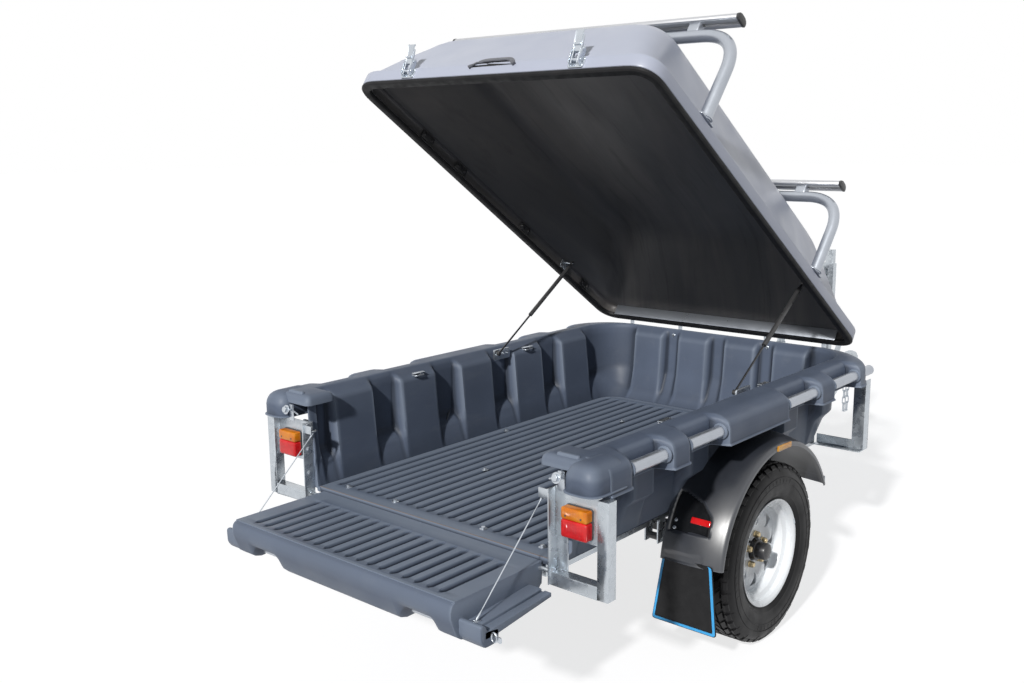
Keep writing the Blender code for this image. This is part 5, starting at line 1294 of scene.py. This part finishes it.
def edge_distance(x, degrees, outline):
    """How far a place on the guard's skin is inside an outline; negative outside."""
    px, py = on_skin(x, degrees)
    corners = [on_skin(*corner) for corner in outline]
    best = 1e9
    inside = False
    for (ax, ay), (bx, by) in zip(corners, corners[1:] + corners[:1]):
        along = (px - ax) * (bx - ax) + (py - ay) * (by - ay)
        t = max(0.0, min(1.0, along / ((bx - ax) ** 2 + (by - ay) ** 2)))
        best = min(best, math.hypot(px - ax - t * (bx - ax), py - ay - t * (by - ay)))
        if (ay > py) != (by > py) and px < (bx - ax) * (py - ay) / (by - ay) + ax:
            inside = not inside
    return best if inside else -best


def guard_depth(x, degrees):
    """The panel and the step at the guard's lower end are pressed in."""
    panel = smooth_step(-0.001, 0.006, edge_distance(x, degrees, PANEL))
    step = smooth_step(0.0, 0.004, edge_distance(x, degrees, STEP))
    return 0.007 * panel + 0.003 * step


def crown(x):
    """The guard's top falls away towards its outer edge."""
    return GUARD_RADIUS - 0.0190 * max(0.0, (x - 0.640) / 0.117) ** 2


def on_guard(x, degrees, radius):
    angle = math.radians(degrees)
    return x, radius * math.cos(angle), WHEEL_Z + radius * math.sin(angle)


def build_guard(side, sign):
    """The guard's skin with its rolled lip, swept round the axle."""
    rings = []
    steps = 220
    columns = 46
    for i in range(steps):
        degrees = GUARD_START + GUARD_SWEEP * i / (steps - 1)
        inner = FLOOR_HALF + wall_out(WHEEL_Z + GUARD_RADIUS * math.sin(math.radians(degrees))) + 0.002
        xs = [inner + (GUARD_EDGE - inner) * k / (columns - 1) for k in range(columns)]
        section = [(x, crown(x) - guard_depth(x, degrees)) for x in xs]
        section += [*GUARD_LIP, (inner, 0.4185)]
        rings.append([on_guard(x, degrees, radius) for x, radius in section])
    make(f"mudguard_{side}", mirrored(loft(rings), sign), GUARD, "root", from_axle, smooth_deg=40,
         replaces=(f"guard_{side}",))


def build_guard_panel(side, sign):
    """A smooth black skin in the bottom of the guard's panel."""
    rings = []
    places = [0.566 + 0.0015 * k for k in range(104)]
    for i in range(40):
        degrees = 138.0 + 20.2 * i / 39
        span = [x for x in places if edge_distance(x, degrees, PANEL) > 0.003]
        if not span:
            continue
        xs = [span[0] + (span[-1] - span[0]) * k / 23 for k in range(24)]
        row = [(x, crown(x) + 0.0004 - guard_depth(x, degrees)) for x in xs]
        ring = [on_guard(x, degrees, radius) for x, radius in row]
        ring += [on_guard(x, degrees, radius - 0.001) for x, radius in reversed(row)]
        rings.append(ring)
    make(f"guard_panel_{side}", mirrored(loft(rings), sign), PANEL_BLACK, "root", from_axle, smooth_deg=40)


def build_guard_fittings(side, sign):
    """The reflector in the panel, the marker on the edge, two screws and the stay."""
    def wrapped(x, along, radius):
        return on_guard(x, math.degrees(along / GUARD_RADIUS), radius)

    def on_edge(y, radius, x):
        return x, y, WHEEL_Z + math.sqrt(max(0.0, radius ** 2 - y ** 2))

    reflector = pillow(on_skin(0.640, 149.6), on_skin(0.713, 152.4), 0.004, REFLECTOR_LEVELS, wrapped)
    make(f"reflector_{side}", mirrored(reflector, sign), RED, "root", from_axle)
    marker = pillow((-0.040, 0.3895), (0.062, 0.4095), 0.005, MARKER_LEVELS, on_edge)
    make(f"side_marker_{side}", mirrored(marker, sign), MARKER, "root", from_axle)
    screws = []
    for degrees in (152.5, 156.0):
        outward = circled(0, 1, math.radians(degrees))
        screws.append(bolt(on_guard(0.585, degrees, 0.4232), outward, 0.007, 0.004, 0.006))
    make(f"guard_screws_{side}", mirrored(joined(*screws), sign), ZINC, "root", from_axle)
    stay = [box((0.660, 0.376, 0.500), (0.765, 0.381, 0.520))]
    stay += [bolt((x, 0.381, 0.510), (0, 1, 0), 0.012, 0.008, 0.011) for x in (0.700, 0.742)]
    make(f"guard_stay_{side}", mirrored(joined(*stay), sign), ZINC, "root", from_axle, bevel=0.0006)


for side, sign in SIDES:
    build_guard(side, sign)
    build_guard_panel(side, sign)
    build_guard_fittings(side, sign)


def build_mudflap(side, sign):
    """A rubber sheet with a painted border round three edges; outlines are (x, height)."""
    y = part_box(f"mudflap_{side}")[0].y
    sheet = filleted([(0.520, 0.165), (0.770, 0.165), (0.748, 0.404), (0.560, 0.404)], 0.012, 5, True)
    make(f"mudflap_sheet_{side}", mirrored(prism(sheet, "y", (y + 0.0003, y + 0.004)), sign), RUBBER, "root",
         replaces=(f"mudflap_{side}",))
    outer = filleted([(0.5225, 0.1675), (0.7675, 0.1675), (0.7465, 0.404), (0.5615, 0.404)], 0.011, 5, True)
    inner = filleted([(0.5315, 0.1765), (0.7575, 0.1765), (0.7365, 0.404), (0.5700, 0.404)], 0.006, 5, True)
    rings = []
    for outline, depth in ((outer, 0.0), (outer, 0.0010), (inner, 0.0010), (inner, 0.0)):
        rings.append([(x, y - depth, z) for x, z in outline])
    make(f"mudflap_border_{side}", mirrored(loft(rings, True), sign), BLUE, "root")


for side, sign in SIDES:
    build_mudflap(side, sign)


# Wheels: profiles are (radius, distance out from the wheel's middle plane)
STUD_CIRCLE = 0.057
STUDS = 5
VENTS = 8
TREAD_PITCHES = 46
RIM_HALF = 0.0775
VALVE_TURN = 2.6
VENT = ((0.1380, -0.0240), (0.1380, 0.0240), (0.0880, 0.0))
RIM_OUTER = (
    (0.1940, RIM_HALF), (0.1947, RIM_HALF - 0.001), (0.1947, RIM_HALF - 0.003), (0.1925, RIM_HALF - 0.0055),
    (0.186, RIM_HALF - 0.007), (0.1812, RIM_HALF - 0.010), (0.1812, RIM_HALF - 0.028),
    (0.176, RIM_HALF - 0.034), (0.162, RIM_HALF - 0.038), (0.160, RIM_HALF - 0.041),
    (0.160, -RIM_HALF + 0.047), (0.163, -RIM_HALF + 0.043), (0.1812, -RIM_HALF + 0.028),
    (0.1812, -RIM_HALF + 0.009), (0.1925, -RIM_HALF + 0.005), (0.1947, -RIM_HALF + 0.0035),
    (0.1940, -RIM_HALF),
)
RIM_INNER = (
    (0.186, -RIM_HALF + 0.002), (0.1775, -RIM_HALF + 0.009), (0.1770, -RIM_HALF + 0.026),
    (0.157, -RIM_HALF + 0.046), (0.156, -0.010), (0.154, 0.002), (0.148, 0.0065), (0.135, 0.0085),
    (0.118, 0.0130), (0.106, 0.0160), (0.098, 0.0150), (0.090, 0.0110), (0.083, 0.0080), (0.0430, 0.0080),
    (0.0425, 0.0130), (0.081, 0.0130), (0.089, 0.0155), (0.097, 0.0195), (0.106, 0.0210), (0.119, 0.0180),
    (0.136, 0.0130), (0.147, 0.0115), (0.153, 0.0125), (0.156, 0.0180), (0.1565, RIM_HALF - 0.043),
    (0.160, RIM_HALF - 0.036), (0.1765, RIM_HALF - 0.027), (0.1775, RIM_HALF - 0.012),
    (0.183, RIM_HALF - 0.005), (0.189, RIM_HALF - 0.0005),
)
HUB = (
    (0.0165, -0.085), (0.043, -0.085), (0.045, -0.083), (0.048, -0.060), (0.070, -0.016), (0.072, -0.012),
    (0.072, 0.0074), (0.040, 0.0076), (0.0385, 0.0076), (0.038, 0.009), (0.038, 0.029), (0.0365, 0.031),
    (0.031, 0.0325), (0.0308, 0.040), (0.0308, 0.062), (0.0285, 0.066), (0.022, 0.0685), (0.010, 0.070),
    (0.0005, 0.0702), (0.0005, 0.018), (0.0165, 0.018),
)


def tyre_section():
    """The tyre's closed section: (radius, distance from its middle plane)."""
    outer = [(0.1815, 0.0690), (0.186, 0.0712), (0.1985, 0.0728), (0.203, 0.0765), (0.212, 0.0835),
             (0.214, 0.0855), (0.217, 0.0858), (0.226, 0.0893), (0.240, 0.0918), (0.256, 0.0926),
             (0.272, 0.0922), (0.286, 0.0902), (0.297, 0.0868), (0.305, 0.0820), (0.3115, 0.0762),
             (0.3150, 0.070)]
    tread = [(0.3165, 0.062), (0.3178, 0.048), (0.3188, 0.030), (0.3192, 0.012), (0.3192, 0.0)]
    inside = [(0.2, 0.055), (0.25, 0.072), (0.300, 0.055), (0.302, 0.0)]
    right = outer + tread
    left = [(r, -a) for r, a in reversed(right[:-1])]
    core = [(r, -a) for r, a in inside] + [(r, a) for r, a in reversed(inside[:-1])]
    return right + left + core


def block(angle, half_angle, levels, skew=0.0):
    """A block at its place round the tyre, through levels of (radius, low across, high across, shrink)."""
    rings = []
    for radius, low, high, shrink in levels:
        corners = []
        for across, way in ((low, -1), (high, -1), (high, 1), (low, 1)):
            corners.append(circled(across, radius, angle + way * (half_angle - shrink) + skew * across))
        rings.append(corners)
    return loft(rings)


def to_side(levels, way):
    """Levels given for the right side of the tyre, on either side."""
    return [(radius, *sorted((way * low, way * high)), shrink) for radius, low, high, shrink in levels]


def build_tyre(side, sign):
    """The tyre's body with tread blocks, shoulder blocks, side lugs and ribs."""
    centre = (sign * WHEEL_X, AXLE_Y, WHEEL_Z)
    pitch = 2 * math.pi / TREAD_PITCHES
    shoulder = [(0.3060, 0.0640, 0.0800, 0.0), (0.3130, 0.0630, 0.0795, 0.002),
                (0.3215, 0.0625, 0.0715, 0.006)]
    lug = [(0.2960, 0.0850, 0.0880, 0.004), (0.3030, 0.0815, 0.0850, 0.001), (0.3090, 0.0770, 0.0800, 0.0)]
    ridge = [(0.258, 0.0915, 0.0932, 0.0), (0.272, 0.0912, 0.0930, 0.0)]
    blocks = []
    for i in range(TREAD_PITCHES):
        angle = pitch * i
        for low, high, skew, shift in ((0.004, 0.028, 4.0, 0.0), (-0.028, -0.004, 4.0, 0.5),
                                       (0.033, 0.058, -3.0, 0.5), (-0.058, -0.033, -3.0, 0.0)):
            levels = [(0.3150, low, high, 0.0), (0.3245, low + 0.0015, high - 0.0015, 0.004)]
            blocks.append(block(angle + shift * pitch, 0.050, levels, skew))
        for way in (-1, 1):
            turn = angle + (0.25 + 0.25 * way) * pitch
            blocks.append(block(turn, 0.048, to_side(shoulder, way)))
            if i % 2 == 0:
                blocks.append(block(turn, 0.036, to_side(lug, way)))
    for way in (-1, 1):
        for i in range(64):
            if i % 16 < 4 or i % 16 > 11:
                blocks.append(block(2 * math.pi * i / 64, 0.010, to_side(ridge, way)))
        for radius in (0.2535, 0.2775):
            ring = [(radius - 0.0012, way * 0.0915), (radius - 0.0008, way * 0.0934),
                    (radius + 0.0008, way * 0.0934), (radius + 0.0012, way * 0.0910)]
            blocks.append(turned(ring, (0, 0, 0), "x", 96, True))
    tread = placed(joined(*blocks), lambda x, y, z: (x + centre[0], y + centre[1], z + centre[2]))
    tyre = turned(tyre_section(), centre, "x", 128, True)
    make(f"tyre_tread_{side}", joined(tyre, tread), TYRE, f"wheel_{side}", smooth_deg=30,
         replaces=(f"tyre_{side}",))


def build_rim(side, sign):
    """The pressed wheel, drawn for the right side about its own centre, with vents and stud holes cut."""
    body = f"wheel_{side}"
    rim = make(f"wheel_disc_{side}", turned(RIM_OUTER + RIM_INNER, (0, 0, 0), "x", 96, True), WHITE, body)
    cutters = []
    outline = filleted(VENT, 0.0035, 4, True)
    for i in range(VENTS):
        c = math.cos(2 * math.pi * i / VENTS)
        s = math.sin(2 * math.pi * i / VENTS)
        cutters.append(prism([(u * c - v * s, u * s + v * c) for u, v in outline], "x", (-0.02, 0.06)))
    for i in range(STUDS):
        turn = 2 * math.pi * i / STUDS
        place = (0, STUD_CIRCLE * math.sin(turn), STUD_CIRCLE * math.cos(turn))
        cutters.append(turned([(0.0068, -0.02), (0.0068, 0.06)], place, "x", 20))
    cutter = make(f"wheel_cutter_{side}", joined(*cutters), WHITE, body)
    step = rim.modifiers.new("vents", "BOOLEAN")
    step.operation = "DIFFERENCE"
    step.solver = "EXACT"
    step.use_self = True
    step.object = cutter
    bake(rim)
    bpy.data.objects.remove(cutter)
    for vertex in rim.data.vertices:
        vertex.co.x *= sign
        vertex.co += Vector((sign * WHEEL_X, AXLE_Y, WHEEL_Z))
    if sign < 0:
        rim.data.flip_normals()
    dress(rim, WHITE, body, 0.0, 32, (f"rim_{side}",))


def build_hub(side, sign):
    """The hub's cap, the nuts, the valve and a balance weight, drawn about the wheel's centre."""
    body = f"wheel_{side}"

    def put(x, y, z):
        return sign * x + sign * WHEEL_X, y + AXLE_Y, z + WHEEL_Z

    make(f"hub_cap_{side}", turned(HUB, (0, 0, 0), "x", 48, True), BLACK, body, put, smooth_deg=34,
         replaces=(f"hub_{side}",))
    nuts = []
    seat = [(0.0112, 0.0134), (0.0122, 0.0150), (0.0112, 0.0172), (0.0105, 0.0175)]
    hexagon = [(0.0112, 0.0172), (0.0112, 0.0290), (0.0098, 0.0305)]
    tip = [(0.0098, 0.0295), (0.0085, 0.0330), (0.0045, 0.0350)]
    for i in range(STUDS):
        turn = 2 * math.pi * i / STUDS
        place = (0, STUD_CIRCLE * math.sin(turn), STUD_CIRCLE * math.cos(turn))
        for profile, sides in ((seat, 24), (hexagon, 6), (tip, 20)):
            nuts.append(turned(profile, place, "x", sides))
    make(f"wheel_nuts_{side}", joined(*nuts), BRASS, body, put, bevel=0.0004)
    route = [circled(x, radius, VALVE_TURN) for x, radius in ((0.030, 0.166), (0.052, 0.158), (0.066, 0.150))]
    make(f"valve_stem_{side}", tube(route, [0.0060, 0.0052, 0.0042], 14), RUBBER, body, put)
    section = ((0.0725, 0.1865), (0.0790, 0.1885), (0.0790, 0.1945), (0.0765, 0.1960))
    weight = [[circled(x, radius, 0.30 + 0.020 * i) for x, radius in section] for i in range(7)]
    make(f"balance_weight_{side}", loft(weight), GALV, body, put, bevel=0.0006)


for side, sign in SIDES:
    build_tyre(side, sign)
    build_rim(side, sign)
    build_hub(side, sign)


# Frame, springs, drawbar and jockey wheel
for name in ("chassis_frame", "drawbar", "coupling", "front_post_left", "front_post_right",
             "spare_wheel_bracket", "jockey_sleeve", "jockey_leg", "jockey_fork"):
    refined(name, GALV, 0.0016, 32)
for name in ("leaf_spring_left", "leaf_spring_right", "axle_beam"):
    refined(name, BLACK, 0.0012, 32)
refined("jockey_wheel", RUBBER, 0.0015, 40)


CHAIN_Y = 2.320
CHAIN_SPREAD = 0.020
CHAIN_TOP = 0.466
CHAIN_BOTTOM = 0.260
LINK_PITCH = 0.0360


def build_chain():
    """Links along the hanging loop: down one side, round the bend and up again."""
    straight = CHAIN_TOP - CHAIN_BOTTOM - CHAIN_SPREAD
    bend_z = CHAIN_BOTTOM + CHAIN_SPREAD
    bend = math.pi * CHAIN_SPREAD
    length = 2 * straight + bend
    count = int(length / LINK_PITCH) + 1
    shapes = [box((-0.004, 2.2303, CHAIN_TOP - 0.008), (0.004, CHAIN_Y + 0.034, CHAIN_TOP + 0.030))]
    for i in range(count):
        travel = length * i / (count - 1)
        if travel < straight:
            place = Vector((0, CHAIN_Y - CHAIN_SPREAD, CHAIN_TOP - travel))
            heading = Vector((0, 0, -1))
        elif travel > straight + bend:
            place = Vector((0, CHAIN_Y + CHAIN_SPREAD, bend_z + travel - straight - bend))
            heading = Vector((0, 0, 1))
        else:
            turn = (travel - straight) / CHAIN_SPREAD
            outward = Vector((0, math.cos(turn), math.sin(turn)))
            place = Vector((0, CHAIN_Y, bend_z)) - outward * CHAIN_SPREAD
            heading = Vector((0, math.sin(turn), -math.cos(turn)))
        side = Vector((1, 0, 0)) if i % 2 == 0 else heading.cross(Vector((1, 0, 0)))
        route = []
        for k in range(20):
            angle = 2 * math.pi * k / 20
            stretch = math.copysign(0.0125, math.cos(angle)) if abs(math.cos(angle)) > 1e-6 else 0.0
            ahead = stretch + 0.0095 * math.cos(angle)
            route.append(place + heading * ahead + side * 0.0085 * math.sin(angle))
        shapes.append(tube(route, 0.0032, 10, True))
    make("chain_links", joined(*shapes), ZINC, "root", from_axle, smooth_deg=45, replaces=("safety_chain",))


build_chain()


# Camera, light and backdrop
def seen_directly(tree):
    """1 for rays from the camera, or by way of a mirror or glass, and 0 for light that falls on surfaces."""
    ray = tree.nodes.new("ShaderNodeLightPath")
    first = tree.nodes.new("ShaderNodeMath")
    first.operation = "MAXIMUM"
    tree.links.new(ray.outputs["Is Camera Ray"], first.inputs[0])
    tree.links.new(ray.outputs["Is Glossy Ray"], first.inputs[1])
    second = tree.nodes.new("ShaderNodeMath")
    second.operation = "MAXIMUM"
    tree.links.new(first.outputs[0], second.inputs[0])
    tree.links.new(ray.outputs["Is Transmission Ray"], second.inputs[1])
    return second.outputs[0]


def floor_white():
    made = bpy.data.materials.new("floor_white")
    made.use_nodes = True
    tree = made.node_tree
    shader = tree.nodes["Principled BSDF"]
    shader.inputs["Base Color"].default_value = (0.36, 0.36, 0.37, 1)
    shader.inputs["Roughness"].default_value = 0.9
    shader.inputs["Specular IOR Level"].default_value = 0.0
    shader.inputs["Emission Color"].default_value = (1, 1, 1, 1)
    level = tree.nodes.new("ShaderNodeMath")
    level.operation = "MULTIPLY"
    level.inputs[1].default_value = FLOOR_GLOW
    tree.links.new(seen_directly(tree), level.inputs[0])
    tree.links.new(level.outputs[0], shader.inputs["Emission Strength"])
    return made


def set_camera():
    camera = bpy.data.cameras.new("camera")
    camera.sensor_width = 36.0
    camera.lens = CAMERA_LENS
    camera.clip_end = 200
    holder = bpy.data.objects.new("camera", camera)
    bpy.context.scene.collection.objects.link(holder)
    level = math.cos(CAMERA_PITCH)
    ahead = Vector((-math.sin(CAMERA_YAW) * level, math.cos(CAMERA_YAW) * level, -math.sin(CAMERA_PITCH)))
    right = ahead.cross(Vector((0, 0, 1))).normalized()
    up = right.cross(ahead)
    c = math.cos(CAMERA_ROLL)
    s = math.sin(CAMERA_ROLL)
    turn = Matrix((right * c + up * s, up * c - right * s, -ahead)).transposed()
    holder.matrix_world = Matrix.Translation(CAMERA_PLACE) @ turn.to_4x4()
    bpy.context.scene.camera = holder


def area_light(name, place, target, size, power):
    light = bpy.data.lights.new(name, "AREA")
    light.shape = "RECTANGLE"
    light.size, light.size_y = size
    light.energy = power
    holder = bpy.data.objects.new(name, light)
    holder.location = place
    holder.rotation_euler = (Vector(target) - Vector(place)).to_track_quat("-Z", "Y").to_euler()
    bpy.context.scene.collection.objects.link(holder)


def set_stage():
    """A white floor that keeps the shadow, a white backdrop, the sun and a weak fill light."""
    mesh = bpy.data.meshes.new("floor")
    corners = [(x * FLOOR_REACH, y * FLOOR_REACH, -0.001) for x, y in ((-1, -1), (1, -1), (1, 1), (-1, 1))]
    mesh.from_pydata(corners, [], [(0, 1, 2, 3)])
    floor = bpy.data.objects.new("floor", mesh)
    bpy.context.scene.collection.objects.link(floor)
    floor.data.materials.append(floor_white())
    world = bpy.data.worlds.new("studio")
    bpy.context.scene.world = world
    world.use_nodes = True
    tree = world.node_tree
    back = tree.nodes["Background"]
    back.inputs["Color"].default_value = (0.84, 0.92, 1.0, 1)
    back.inputs["Strength"].default_value = AMBIENT
    white = tree.nodes.new("ShaderNodeBackground")
    white.inputs["Color"].default_value = (1, 1, 1, 1)
    white.inputs["Strength"].default_value = 1.0
    mix = tree.nodes.new("ShaderNodeMixShader")
    tree.links.new(seen_directly(tree), mix.inputs[0])
    tree.links.new(back.outputs[0], mix.inputs[1])
    tree.links.new(white.outputs[0], mix.inputs[2])
    tree.links.new(mix.outputs[0], tree.nodes["World Output"].inputs["Surface"])
    sun = bpy.data.lights.new("sun", "SUN")
    sun.energy = SUN
    sun.angle = math.radians(3)
    sun.color = (1.0, 0.985, 0.96)
    holder = bpy.data.objects.new("sun", sun)
    holder.rotation_euler = SUN_FROM.to_track_quat("Z", "Y").to_euler()
    bpy.context.scene.collection.objects.link(holder)
    area_light("fill", (4.8, -4.6, 3.2), (0, -0.3, 0.6), (3.0, 3.0), 12)


set_camera()
set_stage()
bpy.context.scene.view_settings.view_transform = "Standard"
